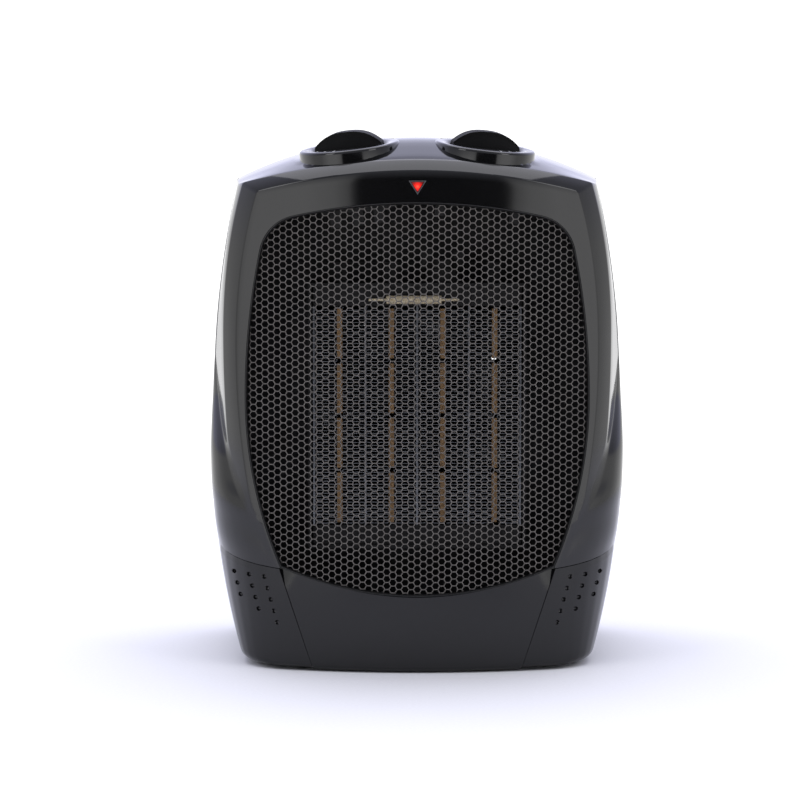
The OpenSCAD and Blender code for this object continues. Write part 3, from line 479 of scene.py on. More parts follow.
def side_profile(edge, z):
    """Plan section of the front moulding at a height: points (x, y) from the opening's edge to the split."""
    edge_x = edge[0]
    a = (edge_x, front_y(edge_x))
    outer = side_x(z)
    band = math.tan(math.radians(50))
    if z < TIP_Z:
        b = (edge_x + 1.6, front_y(edge_x + 1.6))
        lead = smooth((z - 44) / (TIP_Z - 44))
        s = (lerp(edge_x + 4, through(SWOOSH, TIP_Z), lead), 0)
        s = (s[0], front_y(edge_x) + (s[0] - edge_x) * lerp(0.42, 0.62, lead))
        c = ((b[0] + s[0]) / 2, (b[1] + s[1]) / 2)
        start = lerp(26, 32, lead)
    else:
        fade = smooth((z - TIP_Z) / 16)
        bx = max(crease_b(z), edge_x + 1.6)
        b = (bx, front_y(bx))
        sx = min(through(SWOOSH, z), outer - 0.5)
        slope = lerp(0.62, band, fade)
        cx = min(crease_c(z), sx - 0.4)
        c = (cx, b[1] + (cx - bx) * slope)
        if z < 98:
            s = (sx, b[1] + (sx - bx) * slope)
            c = ((b[0] + s[0]) / 2, (b[1] + s[1]) / 2)
            if z > 90:
                f = smooth((z - 90) / 8)
                c = tuple(lerp(m, n, f) for m, n in zip(c, (cx, b[1] + (cx - bx) * slope)))
        else:
            lean = lerp(3.2, 5.0, smooth((z - 98) / 20))
            s = (sx, min(c[1] + (sx - cx) * lean, SPLIT_Y - 6))
        start = lerp(32, 62, smooth((z - TIP_Z) / 60))
    m_y = min(s[1] + (outer - s[0]) * lerp(1.7, 2.4, smooth((z - 60) / 80)), SPLIT_Y - 3)
    m = (outer, m_y)
    reach = (outer - s[0]) * 0.6
    p1 = (s[0] + reach * math.cos(math.radians(start)), s[1] + reach * math.sin(math.radians(start)))
    p2 = (outer, lerp(s[1], m_y, 0.45))
    flare = [bezier(s, p1, p2, m, k / 6) for k in range(7)]
    face = [(lerp(a[0], b[0], f), front_y(lerp(a[0], b[0], f))) for f in (0.33, 0.66)]
    side = [tuple(lerp(u, v, f) for u, v in zip(c, s)) for f in (0.33, 0.66)]
    points = [a] + face + rounded(face[-1], b, c, EDGE) + rounded(b, c, side[0], EDGE) + side
    points += rounded(side[-1], s, flare[1], EDGE) + flare[1:]
    points += [(outer, SPLIT_Y)]
    return points


TOP_CROWN = [(-70.0, 230.6), (-67.2, 231.9), (-66.0, 232.4), (-58.0, 235.1), (-50.0, 237.7), (-44.0, 239.2),
             (-36.0, 240.1), (-12.0, 240.6), (45.0, 240.0)]
DECK_STEPS = [0.025, 0.055, 0.075, 0.13, 0.2, 0.28, 0.37, 0.47, 0.6, 0.72, 0.86]


def top_z(x, y):
    """Height of the top panel: it swells up behind the brow, levels out, and is arched across."""
    tighten = smooth((y + 70.0) / 30.0)
    radius = 1 / lerp(1 / 303.0, 1 / 188.0, tighten)
    return through(TOP_CROWN, y) - drop(x, radius)


def top_profile(edge, f):
    """Section over the brow: points (x, y, z) from the opening's edge to the split. f is 0 at the corner."""
    ax, az = edge
    a = (ax, front_y(ax), az)
    bx = lerp(B_CORNER[0], 0, f)
    b = (bx, front_y(bx), B_TOP_Z - drop(bx, 280.0))
    cx = lerp(C_CORNER[0], 0, f)
    c_y = lerp(-52.9, FRONT_Y + 5, 1 - (cx / C_CORNER[0]) ** 2)
    c = (cx, c_y, C_TOP_Z - drop(cx, 303.0))
    px = lerp(P_CORNER_X, 0, f)
    p = (px, SPLIT_Y, top_z(px, SPLIT_Y))
    face = [tuple(lerp(u, v, g) for u, v in zip(a, b)) for g in (0.33, 0.66)]
    face = [(x, front_y(x), z) for x, y, z in face]
    deck = []
    lift = c[2] - top_z(cx, c_y)
    straight = smooth(f * 3)
    for (along_x, along_y), step in zip(corner_steps(), DECK_STEPS):
        x = lerp(cx, px, lerp(along_x, step, straight))
        y = lerp(c_y, SPLIT_Y, lerp(along_y, step, straight))
        deck.append((x, y, top_z(x, y) + lift * (SPLIT_Y - y) / (SPLIT_Y - c_y)))
    return ([a] + face + rounded(face[-1], b, c, EDGE) + rounded(b, c, deck[0], EDGE)
            + deck + [p])


P_CORNER_X = side_x(221.2) - 0.3


def corner_steps():
    """How far the side's strands have gone at the upper corner, from the inner crease to the split."""
    strands = side_profile(opening_side(0, SIDE_ROWS)[-1], C_CORNER[1])
    crease, end = strands[5], strands[-1]
    return [((x - crease[0]) / (end[0] - crease[0]), (y - crease[1]) / (end[1] - crease[1]))
            for x, y in strands[8:19]]


def front_rows():
    """All sections of the front moulding, from the right lower corner over the top to the left one."""
    rows = []
    side_edges = opening_side(0, SIDE_ROWS)
    z_first = LOW_CORNER[1]
    for k, edge in enumerate(side_edges):
        f = k / SIDE_ROWS
        rise = lerp(z_first, C_CORNER[1], f)
        flat = side_profile(edge, rise)
        row = []
        count = len(flat) - 1
        for n, (x, y) in enumerate(flat):
            low = seam_z(y)
            high = corner_height(n, count)
            z = lerp(low, high, (rise - z_first) / (C_CORNER[1] - z_first))
            out = smooth((x - edge[0]) / (flat[-1][0] - edge[0]))
            row.append([x + (side_x(z) - side_x(rise)) * out, y, z])
        row[0][2] = edge[1]
        rows.append(row)
    return calmed(rows)


def calmed(rows):
    """Blends the rows round the swoosh's tip into each other, so that the scoop runs out evenly."""
    for _ in range(CALM_ROUNDS):
        fresh = [rows[0]]
        for before, row, after in zip(rows, rows[1:], rows[2:]):
            height = row[10][2]
            weight = smooth((height - 52) / 12) * smooth((118 - height) / 14) / 4
            fresh.append([[v + weight * (u - 2 * v + w) for u, v, w in zip(*trio)] if n > 2 else row[n]
                          for n, trio in enumerate(zip(before, row, after))])
        rows = fresh + [rows[-1]]
    return rows


def corner_height(n, count):
    """Height at which each strand of the side moulding meets the top."""
    marks = [(0, FILLET_C[1] + CORNER_R * math.sin(FILLET_MID_A)), (4, B_CORNER[1]), (7, C_CORNER[1]),
             (count, top_z(P_CORNER_X, SPLIT_Y))]
    for (a, va), (b, vb) in zip(marks, marks[1:]):
        if n <= b:
            return lerp(va, vb, (n - a) / (b - a))
    return marks[-1][1]


def all_front_rows():
    """The whole front moulding as rows of points, right foot to left foot, with a softened corner."""
    side = front_rows()
    top_edges = opening_top(0, TOP_ROWS)
    top = [[list(p) for p in top_profile(edge, k / TOP_ROWS)] for k, edge in enumerate(top_edges)]
    last = side[-1]
    shift = [[b - a for a, b in zip(p, q)] for p, q in zip(last, top[0])]
    for k, row in enumerate(side):
        weight = smooth((k / SIDE_ROWS - 0.55) / 0.45)
        for point, move in zip(row, shift):
            for axis in range(3):
                point[axis] += move[axis] * weight
    before, corner, after = side[-2], side[-1], top[1]
    soft = [rounded(b, c, a, CORNER_EDGE) for b, c, a in zip(before, corner, after)]
    middle = [[list(trio[k]) for trio in soft] for k in range(3)]
    half = side[:-1] + middle + top[1:]
    other = [[[-x, y, z] for x, y, z in row] for row in half[-2::-1]]
    return half + other


def turned_out(obj, centre=(0.0, 0.0, 0.115)):
    """Turns a skin's faces away from the middle of the case."""
    middle = Vector(centre)
    facing = sum(f.normal.dot(f.center - middle) * f.area for f in obj.data.polygons)
    if facing < 0:
        only(obj)
        bpy.ops.object.mode_set(mode="EDIT")
        bpy.ops.mesh.select_all(action="SELECT")
        bpy.ops.mesh.flip_normals()
        bpy.ops.object.mode_set(mode="OBJECT")
    return obj


def cut_away(obj, cutter):
    """Cuts one closed piece out of another and removes the cutter."""
    modify(obj, "BOOLEAN", operation="DIFFERENCE", solver="EXACT", object=cutter)
    bpy.data.objects.remove(cutter, do_unlink=True)
    return obj


def cylinder(radius, low, high, matrix=None, sides=96):
    """A cylinder primitive along local Z between two heights, in millimetres."""
    deselect()
    bpy.ops.mesh.primitive_cylinder_add(vertices=sides, radius=radius * MM, depth=(high - low) * MM,
                                        location=(0, 0, (high + low) / 2 * MM))
    obj = settle(bpy.context.object)
    if matrix:
        obj.data.transform(matrix)
    return obj


def block(low, high):
    """A cube primitive between two corners, in millimetres."""
    deselect()
    size = [(b - a) * MM for a, b in zip(low, high)]
    middle = [(a + b) / 2 * MM for a, b in zip(low, high)]
    bpy.ops.mesh.primitive_cube_add(size=1, location=middle, scale=size)
    return settle(bpy.context.object)


# ---------------------------------------------------------------- dials' frames
DIAL_LEAN, TOP_SLOPE = 6.5, 5.0
DIAL_X, DIAL_Y, DIAL_Z = 30.0, -44.0, 230.007
# Radius of the opening in the top, which the ring covers
WELL_R = 21.5
RING_R, RING_H, KNOB_R, KNOB_GAP, GRIP_H, GRIP_TURN = 23.0, 6.8, 16.4, 0.6, 6.6, 12.0


def dial_frame(side):
    """Local frame of a dial: origin on the top panel, Z along its spindle."""
    turn = (Matrix.Rotation(math.radians(side * DIAL_LEAN), 4, "Y")
            @ Matrix.Rotation(math.radians(TOP_SLOPE), 4, "X"))
    return Matrix.Translation(Vector((side * DIAL_X, DIAL_Y, DIAL_Z)) * MM) @ turn


def turned(name, points, sides=128):
    """A closed ring turned about Z: points are (radius, height) in millimetres, in order."""
    deselect()
    bpy.ops.mesh.primitive_circle_add(vertices=len(points), radius=0.01)
    obj = bpy.context.object
    obj.name = name
    for vertex, (radius, height) in zip(obj.data.vertices, points):
        vertex.co = (radius * MM, 0, height * MM)
    only(obj)
    bpy.ops.object.mode_set(mode="EDIT")
    bpy.ops.mesh.select_all(action="SELECT")
    bpy.ops.mesh.spin(steps=sides, angle=2 * math.pi, center=(0, 0, 0), axis=(0, 0, 1))
    bpy.ops.mesh.select_all(action="SELECT")
    bpy.ops.mesh.remove_doubles(threshold=0.000005)
    bpy.ops.mesh.normals_make_consistent(inside=False)
    bpy.ops.object.mode_set(mode="OBJECT")
    return obj


# ---------------------------------------------------------------- case pieces
def open_dial_wells(obj):
    """Takes out the skin's faces that lie under the dials; the dial rings cover the edge."""
    frames = [dial_frame(side).inverted() for side in (-1, 1)]
    only(obj)
    bpy.ops.object.mode_set(mode="EDIT")
    bpy.ops.mesh.select_all(action="DESELECT")
    bpy.ops.mesh.select_mode(type="FACE")
    bpy.ops.object.mode_set(mode="OBJECT")
    for face in obj.data.polygons:
        corners = [obj.data.vertices[k].co for k in face.vertices]
        for local in frames:
            reach = max((local @ corner).to_2d().length for corner in corners) / MM
            if reach < RING_R - 0.6 and face.center.z / MM > 200:
                face.select = True
    bpy.ops.object.mode_set(mode="EDIT")
    bpy.ops.mesh.delete(type="FACE")
    bpy.ops.mesh.select_mode(type="VERT")
    bpy.ops.object.mode_set(mode="OBJECT")
    for vertex in obj.data.vertices:
        for local in frames:
            flat = (local @ vertex.co).to_2d()
            if flat.length / MM < WELL_R and vertex.co.z / MM > 200:
                flat = flat.normalized() * WELL_R * MM
                edge = local.inverted() @ Vector((flat.x, flat.y, 0))
                vertex.co = (edge.x, edge.y, top_z(edge.x / MM, edge.y / MM) * MM)


def build_front_shell(mats):
    rows = all_front_rows()
    skin_obj = skin("front_case", len(rows) - 1, len(rows[0]) - 1, lambda c, r: rows[c][r])
    turned_out(skin_obj)
    open_dial_wells(skin_obj)
    wall(skin_obj, WALL)
    return finish_piece(skin_obj, "front_case", mats["gloss_abs"], ("front_shell",), angle=24)


LOW_X = LOW_CORNER[0]
SEAM_GAP = 0.35
REAR_R = 28.0
SKIRT_R = 4.0
DIMPLE_R = 1.05
DIMPLE_DEEP = 1.1
# Dimples: first one in from the side, column spacing, lean and spacing down a column, first height
DIMPLE_IN, COLUMN_STEP, ROW_LEAN, ROW_STEP, DIMPLE_TOP_Z = 11.4, 7.1, 1.5, 5.1, 42.8


def tongue_half(z):
    return 47.0 + 15.5 * (z - TONGUE_Z) / 46.2


def dimple_places():
    """X and Z of the dimples on one flank: columns of three, four and five."""
    return [(HALF_W - DIMPLE_IN - COLUMN_STEP * c - ROW_LEAN * k, DIMPLE_TOP_Z - 0.4 * c - ROW_STEP * k)
            for c in range(3) for k in range(3 + c)]


def evened(points, rounds):
    """A row of points with its small kinks smoothed out, the ends kept."""
    for _ in range(rounds):
        trios = zip(points, points[1:], points[2:])
        middle = [tuple((p + 2 * q + r) / 4 for p, q, r in zip(*trio)) for trio in trios]
        points = [points[0]] + middle + [points[-1]]
    return points


def skirt_section(z, rear_steps=10):
    """Plan section of the base at a height, from the tongue's edge round to the middle of the back."""
    start = tongue_half(z) + 0.12
    near = max(LOW_X, start + 0.4)
    front = [(lerp(start, near, k / 24), front_y(lerp(start, near, k / 24))) for k in range(24)]
    profile = side_profile((LOW_X, z), min(z, 44.0))
    outer = side_x(z)
    m = profile[-2]
    fine = evened(spread([(near, front_y(near))] + profile[3:-1], 118), 30)
    side = [(outer, lerp(m[1], REAR_Y - REAR_R, k / 12)) for k in range(1, 12)]
    centre = (outer - REAR_R, REAR_Y - REAR_R)
    corner = arc(centre, REAR_R, 0, math.pi / 2, rear_steps)
    back = [(lerp(centre[0], 0, k / 24), REAR_Y) for k in range(1, 25)]
    return front + fine + side + corner + back


def dent(x, z, size):
    """How deep the flank's dimples are at a place, and the same place drawn onto a near rim."""
    for cx, cz in DIMPLES:
        reach = math.hypot(x - cx, z - cz)
        if reach < DIMPLE_R + size and reach > 1e-6:
            if abs(reach - DIMPLE_R) < size:
                f = DIMPLE_R / reach
                return 0.0, cx + (x - cx) * f, cz + (z - cz) * f
            if reach < DIMPLE_R:
                return DIMPLE_DEEP * math.sqrt(max(1 - (reach / DIMPLE_R) ** 2, 0.0)) ** 0.7, x, z
    return 0.0, x, z


DIMPLES = dimple_places()


def build_skirt():
    levels = [2.0, 2.15, 2.4, 2.8, 3.3, 4.0, 5.0, 6.5, 8.2, 10.0, 12.5, 14.5, 16.5, 18.5, 20.5, 22.0]
    levels += [22.0 + 0.36 * k for k in range(1, 77)] + [lerp(49.5, 52.0, k / 4) for k in range(1, 5)]
    top = levels[-1]
    sections = []
    for level in levels:
        f = (level - SKIRT_Z) / (top - SKIRT_Z)
        base = lerp(SKIRT_Z, LOW_CORNER[1], f)
        row = []
        for x, y in skirt_section(base):
            z = lerp(SKIRT_Z, seam_z(y) - SEAM_GAP, f)
            outer = side_x(base)
            edge = smooth((x - LOW_X) / (outer - LOW_X))
            x += (side_x(z) - outer) * edge
            h = max(SKIRT_R - (z - SKIRT_Z), 0.0)
            x -= (SKIRT_R - math.sqrt(SKIRT_R**2 - h * h)) * smooth((x - outer + 16) / 12)
            if y < -20 and x > LOW_X:
                deep, x2, z2 = dent(x, z, 0.2)
                x, z = x2, z2
                y += deep * 0.8
                x -= deep * 0.6
            row.append((x, y, z))
        sections.append(row)
    count = len(sections[0])
    half = [[sections[r][c] for r in range(len(levels))] for c in range(count)]
    columns = [[(-x, y, z) for x, y, z in column] for column in half[:-1]] + half[::-1]
    obj = skin("base_skirt", len(columns) - 1, len(levels) - 1, lambda c, r: columns[c][r])
    turned_out(obj, (0.0, 0.0, 0.025))
    open_gland(obj)
    wall(obj, WALL)
    return obj


def open_gland(obj):
    """Takes out the skirt's faces behind the cord gland; the gland's flange covers the edge."""
    low, high = box_mm("cord_gland")
    middle = (low + high) / 2
    only(obj)
    bpy.ops.object.mode_set(mode="EDIT")
    bpy.ops.mesh.select_all(action="DESELECT")
    bpy.ops.mesh.select_mode(type="FACE")
    bpy.ops.object.mode_set(mode="OBJECT")
    for face in obj.data.polygons:
        corners = [obj.data.vertices[k].co / MM for k in face.vertices]
        reach = max(math.hypot(c.x - middle.x, c.z - middle.z) for c in corners)
        face.select = face.center.y > 0 and reach < (high.x - low.x) / 2
    bpy.ops.object.mode_set(mode="EDIT")
    bpy.ops.mesh.delete(type="FACE")
    bpy.ops.mesh.select_mode(type="VERT")
    bpy.ops.object.mode_set(mode="OBJECT")


def build_base(mats):
    """Base moulding: the skirt with its dimples, and a floor bored for feet, screws and plunger."""
    skirt = build_skirt()
    loop = [(x, y) for x, y in skirt_section(SKIRT_Z)]
    inner = [(x - min(9.5, x), y + (2.2 if y < 0 else -2.2)) for x, y in loop[::3]]
    ring = [(x, y) for x, y in inner if x > 1] + [(0, REAR_Y - 2.2)]
    outline = ring + [(-x, y) for x, y in ring[-2::-1]]
    deselect()
    bpy.ops.mesh.primitive_circle_add(vertices=len(outline), radius=0.05, fill_type="NGON")
    floor = settle(bpy.context.object)
    for vertex, (x, y) in zip(floor.data.vertices, outline):
        vertex.co = Vector((x, y, SKIRT_Z + 0.05)) * MM
    only(floor)
    bpy.ops.object.mode_set(mode="EDIT")
    bpy.ops.mesh.select_all(action="SELECT")
    bpy.ops.mesh.extrude_region_move(TRANSFORM_OT_translate={"value": (0, 0, 2.3 * MM)})
    bpy.ops.mesh.select_all(action="SELECT")
    bpy.ops.mesh.normals_make_consistent(inside=False)
    bpy.ops.object.mode_set(mode="OBJECT")
    holes = [((x, y), 8.15) for x in (-50, 50) for y in (-45, 57)]
    holes += [((x, y), 1.7) for x in (-62, 62) for y in (-40, 40)] + [((36, 15), 4.5)]
    for (x, y), radius in holes:
        deep = 3.05 if radius > 8 else 8
        cut_away(floor, cylinder(radius, -1, deep, Matrix.Translation(Vector((x, y, 0)) * MM), 48))
    whole = join("base_case", [skirt, floor])
    return finish_piece(whole, "base_case", mats["base_abs"], ("base_tub",), angle=28)


def build_tongue(mats):
    """Panel below the grille, with a small facet at each upper corner and a rolled lower edge."""
    columns, rows = 84, 46

    def place(column, row):
        f = row / rows
        u = 2 * column / columns - 1
        high_x = 62.35 * u
        high = OPENING_FOOT_Z + drop(abs(high_x), FOOT_R) - 0.1
        z = lerp(TONGUE_Z, high, f)
        x = tongue_half(z) * u
        roll = max(1.4 - (z - TONGUE_Z), 0.0)
        y = front_y(x) + 1.4 - math.sqrt(max(1.96 - roll * roll, 0.0))
        past = (abs(x) - 56.0) * 0.9 + (z - 44.5) * 0.42
        y += 0.3 * max(past, 0.0)
        return (x, y, z)

    obj = skin("front_tongue", columns, rows, place)
    turned_out(obj, (0.0, 0.0, 0.02))
    wall(obj, WALL)
    return finish_piece(obj, "front_tongue", mats["base_abs"], ("tongue_panel",), angle=24)


def rear_outline(y, inset):
    """Section of the rear case at a depth: half a loop of (x, z), up the side, then over the top."""
    def over(x):
        crest = min(y, 45.0)
        return top_z(x, crest) - inset
    low = seam_z(y)
    high = 200.0
    for _ in range(30):
        high = over(side_x(high) - inset)
    side = [(side_x(lerp(low, high, k / SIDE_ROWS)) - inset, lerp(low, high, k / SIDE_ROWS))
            for k in range(SIDE_ROWS + 1)]
    corner_x = side[-1][0]
    across = [lerp(corner_x, 0, k / TOP_ROWS) for k in range(TOP_ROWS + 1)]
    top = [(x, over(x)) for x in across]
    soft = rounded(side[-2], side[-1], top[1], CORNER_EDGE)
    return side[:-1] + soft + top[1:]


def build_rear(mats):
    """Rear moulding: skin round the sides and top, flat back with louvres and a grip recess."""
    depths = [(SPLIT_Y + SEAM_GAP, 0.0)]
    depths += [(lerp(SPLIT_Y, REAR_Y - REAR_R, k / 12), 0.0) for k in range(1, 13)]
    depths += [(REAR_Y - REAR_R + REAR_R * math.sin(a), REAR_R * (1 - math.cos(a)))
               for a in [math.radians(9 * k) for k in range(1, 11)]]
    loops = []
    for y, inset in depths:
        half = rear_outline(y, inset)
        loops.append([(x, y, z) for x, z in half] + [(-x, y, z) for x, z in half[-2::-1]])
    count = len(loops[0])
    obj = skin("rear_case", len(loops) - 1, count - 1, lambda c, r: loops[c][r])
    turned_out(obj)
    wall(obj, WALL)
    # flat back
    edge = [(x, z) for x, _, z in loops[-1]]
    deselect()
    bpy.ops.mesh.primitive_circle_add(vertices=len(edge), radius=0.05, fill_type="NGON")
    back = settle(bpy.context.object)
    for vertex, (x, z) in zip(back.data.vertices, edge):
        vertex.co = Vector((x, REAR_Y - WALL, z)) * MM
    only(back)
    bpy.ops.object.mode_set(mode="EDIT")
    bpy.ops.mesh.select_all(action="SELECT")
    bpy.ops.mesh.extrude_region_move(TRANSFORM_OT_translate={"value": (0, WALL * MM, 0)})
    bpy.ops.mesh.select_all(action="SELECT")
    bpy.ops.mesh.normals_make_consistent(inside=False)
    bpy.ops.object.mode_set(mode="OBJECT")
    slot = block((2, REAR_Y - 10, 72), (56, REAR_Y + 4, 76))
    soften(slot, 1.9, 4)
    twin = copy_of(slot, Matrix.Translation((-58 * MM, 0, 0)))
    slots = join("slots", [slot, twin])
    modify(slots, "ARRAY", count=13, use_relative_offset=False, use_constant_offset=True,
           constant_offset_displace=(0, 0, 8 * MM))
    cut_away(back, slots)
    pocket = block((-44, REAR_Y - 22, 197), (44, REAR_Y + 4, 219))
    soften(pocket, 5, 5)
    liner = pocket.copy()
    liner.data = pocket.data.copy()
    bpy.context.collection.objects.link(liner)
    cut_away(back, pocket)
    only(liner)
    bpy.ops.object.mode_set(mode="EDIT")
    bpy.ops.mesh.select_all(action="SELECT")
    bpy.ops.mesh.bisect(plane_co=(0, (REAR_Y - 0.02) * MM, 0), plane_no=(0, 1, 0), clear_outer=True)
    bpy.ops.object.mode_set(mode="OBJECT")
    modify(liner, "SOLIDIFY", thickness=2 * MM, offset=1.0)
    for x, z in ((62, 218.5), (-62, 218.5), (79, 92), (-79, 92)):
        if abs(x) < 66:
            cut_away(back, cylinder(3.5, -5, 5, Matrix.Translation(Vector((x, REAR_Y, z)) * MM)
                                    @ Matrix.Rotation(math.pi / 2, 4, "X"), 32))
    whole = join("rear_case", [obj, back, liner])
    return finish_piece(whole, "rear_case", mats["grained_abs"], ("rear_shell",), angle=28)


def build_gland_collar(mats):
    """Raised collar round the cord gland, which covers the edge of its opening."""
    low, high = box_mm("cord_gland")
    reach = (high.x - low.x) / 2
    collar = turned("gland_collar", [(reach - 3.2, -3.0), (reach + 0.6, -3.0), (reach + 0.6, 0.5),
                                     (reach + 0.2, 1.0), (reach - 1.4, 1.2), (reach - 2.8, 1.0),
                                     (reach - 3.2, 0.5)], 64)
    middle = (low + high) / 2
    collar.data.transform(Matrix.Translation(Vector((middle.x, REAR_Y, middle.z)) * MM)
                          @ Matrix.Rotation(-math.pi / 2, 4, "X"))
    return finish_piece(collar, "gland_collar", mats["pvc"], ())


def build_blades(mats):
    """Slanted blades behind the louvre slots, which hide the fan from above."""
    blade = block((-57, -0.6, -4.0), (57, 0.6, 4.0))
    soften(blade, 0.4, 2)
    blade.data.transform(Matrix.Rotation(math.radians(-38), 4, "X"))
    blade.data.transform(Matrix.Translation(Vector((0, REAR_Y - 6.5, 71.5)) * MM))
    modify(blade, "ARRAY", count=14, use_relative_offset=False, use_constant_offset=True,
           constant_offset_displace=(0, 0, 8 * MM))
    return finish_piece(blade, "rear_blades", mats["grained_abs"])


def build_bezel(mats):
    profile = [(0.05, 1.6), (0.05, 0.55), (0.22, 0.34), (0.5, 0.4), (0.85, 0.9), (1.1, 1.8), (1.25, 2.8),
               (1.4, 5.5), (0.8, 5.5), (0.05, 5.5)]

    def outline(inset):
        foot = opening_foot(inset, 24)
        side = opening_side(inset, 44)
        top = opening_top(inset, 26)
        half = foot + side[1:] + top[1:]
        return half + [(-x, z) for x, z in half[-2:0:-1]]

    rings = [outline(inset) for inset, _ in profile]
    count = len(rings[0])

    def place(column, row):
        _, depth = profile[row % len(profile)]
        x, z = rings[row % len(profile)][column % count]
        return (x, front_y(x) + depth, z)

    obj = skin("grille_surround", count, len(profile), place)
    outward(obj)
    return finish_piece(obj, "grille_surround", mats["bezel_pbt"], ("grille_bezel",), angle=30)


CELL_PITCH = 3.17
CELL_R = CELL_PITCH / math.sqrt(3)
STRAND = 0.44
MESH_Y, MESH_T = 2.0, 1.5


def inside_opening(x, z, margin):
    """Whether a point lies inside the opening, drawn in by a margin."""
    if abs(x) > OPENING_HALF - margin:
        return False
    side_r = UPPER_R if z > OPENING_MID_Z else LOWER_R
    side = OPENING_HALF - drop(abs(z - OPENING_MID_Z), side_r) - margin
    over = OPENING_TOP_Z - margin - drop(x, TOP_R)
    under = OPENING_FOOT_Z + margin + drop(x, FOOT_R)
    if abs(x) > side or z > over or z < under:
        return False
    past_x, past_z = abs(x) - FILLET_C[0], z - FILLET_C[1]
    return not (past_x > 0 and past_z > 0 and math.hypot(past_x, past_z) > CORNER_R - margin)


def build_mesh(mats):
    """Honeycomb of flat-topped cells: one cell modelled, then arrayed, trimmed and bowed with the front."""
    inner = (CELL_PITCH - STRAND) / math.sqrt(3)
    deselect()
    bpy.ops.mesh.primitive_circle_add(vertices=6, radius=CELL_R * MM, rotation=(math.pi / 2, 0, 0))
    cell = settle(bpy.context.object)
    cell.data.transform(Matrix.Rotation(math.radians(30), 4, "Y"))
    only(cell)
    bpy.ops.object.mode_set(mode="EDIT")
    steps = [(inner / CELL_R, 0.42), (1.0, MESH_T - 0.84), (CELL_R / inner, 0.42)]
    for scale, deeper in steps:
        bpy.ops.mesh.extrude_edges_move(TRANSFORM_OT_translate={"value": (0, deeper * MM, 0)})
        bpy.ops.transform.resize(value=(scale, 1, scale), center_override=(0, 0, 0))
    bpy.ops.object.mode_set(mode="OBJECT")
    # two neighbours make the repeat
    twin = copy_of(cell, Matrix.Translation((1.5 * CELL_R * MM, 0, CELL_PITCH / 2 * MM)))
    unit = join("front_mesh", [cell, twin])
    across = 2 * int(OPENING_HALF / (3 * CELL_R)) + 3
    up = int((OPENING_TOP_Z - OPENING_FOOT_Z) / CELL_PITCH) + 4
    modify(unit, "ARRAY", count=across, use_relative_offset=False, use_constant_offset=True,
           constant_offset_displace=(3 * CELL_R * MM, 0, 0))
    modify(unit, "ARRAY", count=up, use_relative_offset=False, use_constant_offset=True,
           constant_offset_displace=(0, 0, CELL_PITCH * MM))
    start = Vector((-(across // 2) * 3 * CELL_R, 0, OPENING_FOOT_Z - CELL_PITCH)) * MM
    unit.data.transform(Matrix.Translation(start))
    # cells whose centre is outside the surround's inner edge go
    faces_per_cell = 18
    polygons = unit.data.polygons
    doomed = []
    for first in range(0, len(polygons), faces_per_cell):
        group = [polygons[k] for k in range(first, first + faces_per_cell)]
        middle = sum((f.center for f in group), Vector()) / faces_per_cell / MM
        if not inside_opening(middle.x, middle.z, 0.2):
            doomed += [f.index for f in group]
    only(unit)
    bpy.ops.object.mode_set(mode="EDIT")
    bpy.ops.mesh.select_all(action="DESELECT")
    bpy.ops.mesh.select_mode(type="FACE")
    bpy.ops.object.mode_set(mode="OBJECT")
    for index in doomed:
        polygons[index].select = True
    bpy.ops.object.mode_set(mode="EDIT")
    bpy.ops.mesh.delete(type="FACE")
    bpy.ops.mesh.select_mode(type="VERT")
    bpy.ops.mesh.select_all(action="SELECT")
    bpy.ops.mesh.remove_doubles(threshold=0.00002)
    bpy.ops.mesh.normals_make_consistent(inside=False)
    bpy.ops.object.mode_set(mode="OBJECT")
    for vertex in unit.data.vertices:
        x = vertex.co.x / MM
        vertex.co.y += (front_y(x) + MESH_Y) * MM
    # the honeycomb's mid grey is a painted highlight on black strands
    return finish_piece(unit, "front_mesh", mats["mesh_pbt"], ("front_grille",), angle=25)


def build_ring(mats, side):
    inner = KNOB_R + KNOB_GAP
    foot = -6.0
    points = [(5.0, foot), (RING_R, foot), (RING_R, RING_H - 1.3), (RING_R - 0.15, RING_H - 0.7),
              (RING_R - 0.6, RING_H - 0.18), (RING_R - 1.3, RING_H), (inner + 2.2, RING_H - 0.15),
              (inner + 0.9, RING_H - 0.45), (inner + 0.3, RING_H - 1.0), (inner, RING_H - 1.8),
              (inner, foot + 2.2), (5.0, foot + 2.2)]
    name = "dial_bowl_left" if side < 0 else "dial_bowl_right"
    obj = turned(name, points)
    obj.data.transform(dial_frame(side))
    node = "dial_ring_left" if side < 0 else "dial_ring_right"
    return finish_piece(obj, name, mats["gloss_abs"], (node,), angle=40)


def build_marks(mats, side):
    """Printed scale on the ring's outer half: fine ticks, every fifth one longer."""
    pieces = []
    top = RING_H + 0.02
    for k in range(11):
        angle = math.radians(-70 + 14 * k if side > 0 else 250 - 14 * k)
        long_tick = k % 5 == 0
        bar = block((18.6, -0.17, -0.02), (21.6 if long_tick else 20.6, 0.17, 0.02))
        bar.data.transform(Matrix.Translation((0, 0, top * MM)))
        bar.data.transform(Matrix.Rotation(angle, 4, "Z"))
        pieces.append(bar)
    name = "dial_marks_left" if side < 0 else "dial_marks_right"
    obj = join(name, pieces)
    obj.data.transform(dial_frame(side))
    return finish_piece(obj, name, mats["ink"], ())


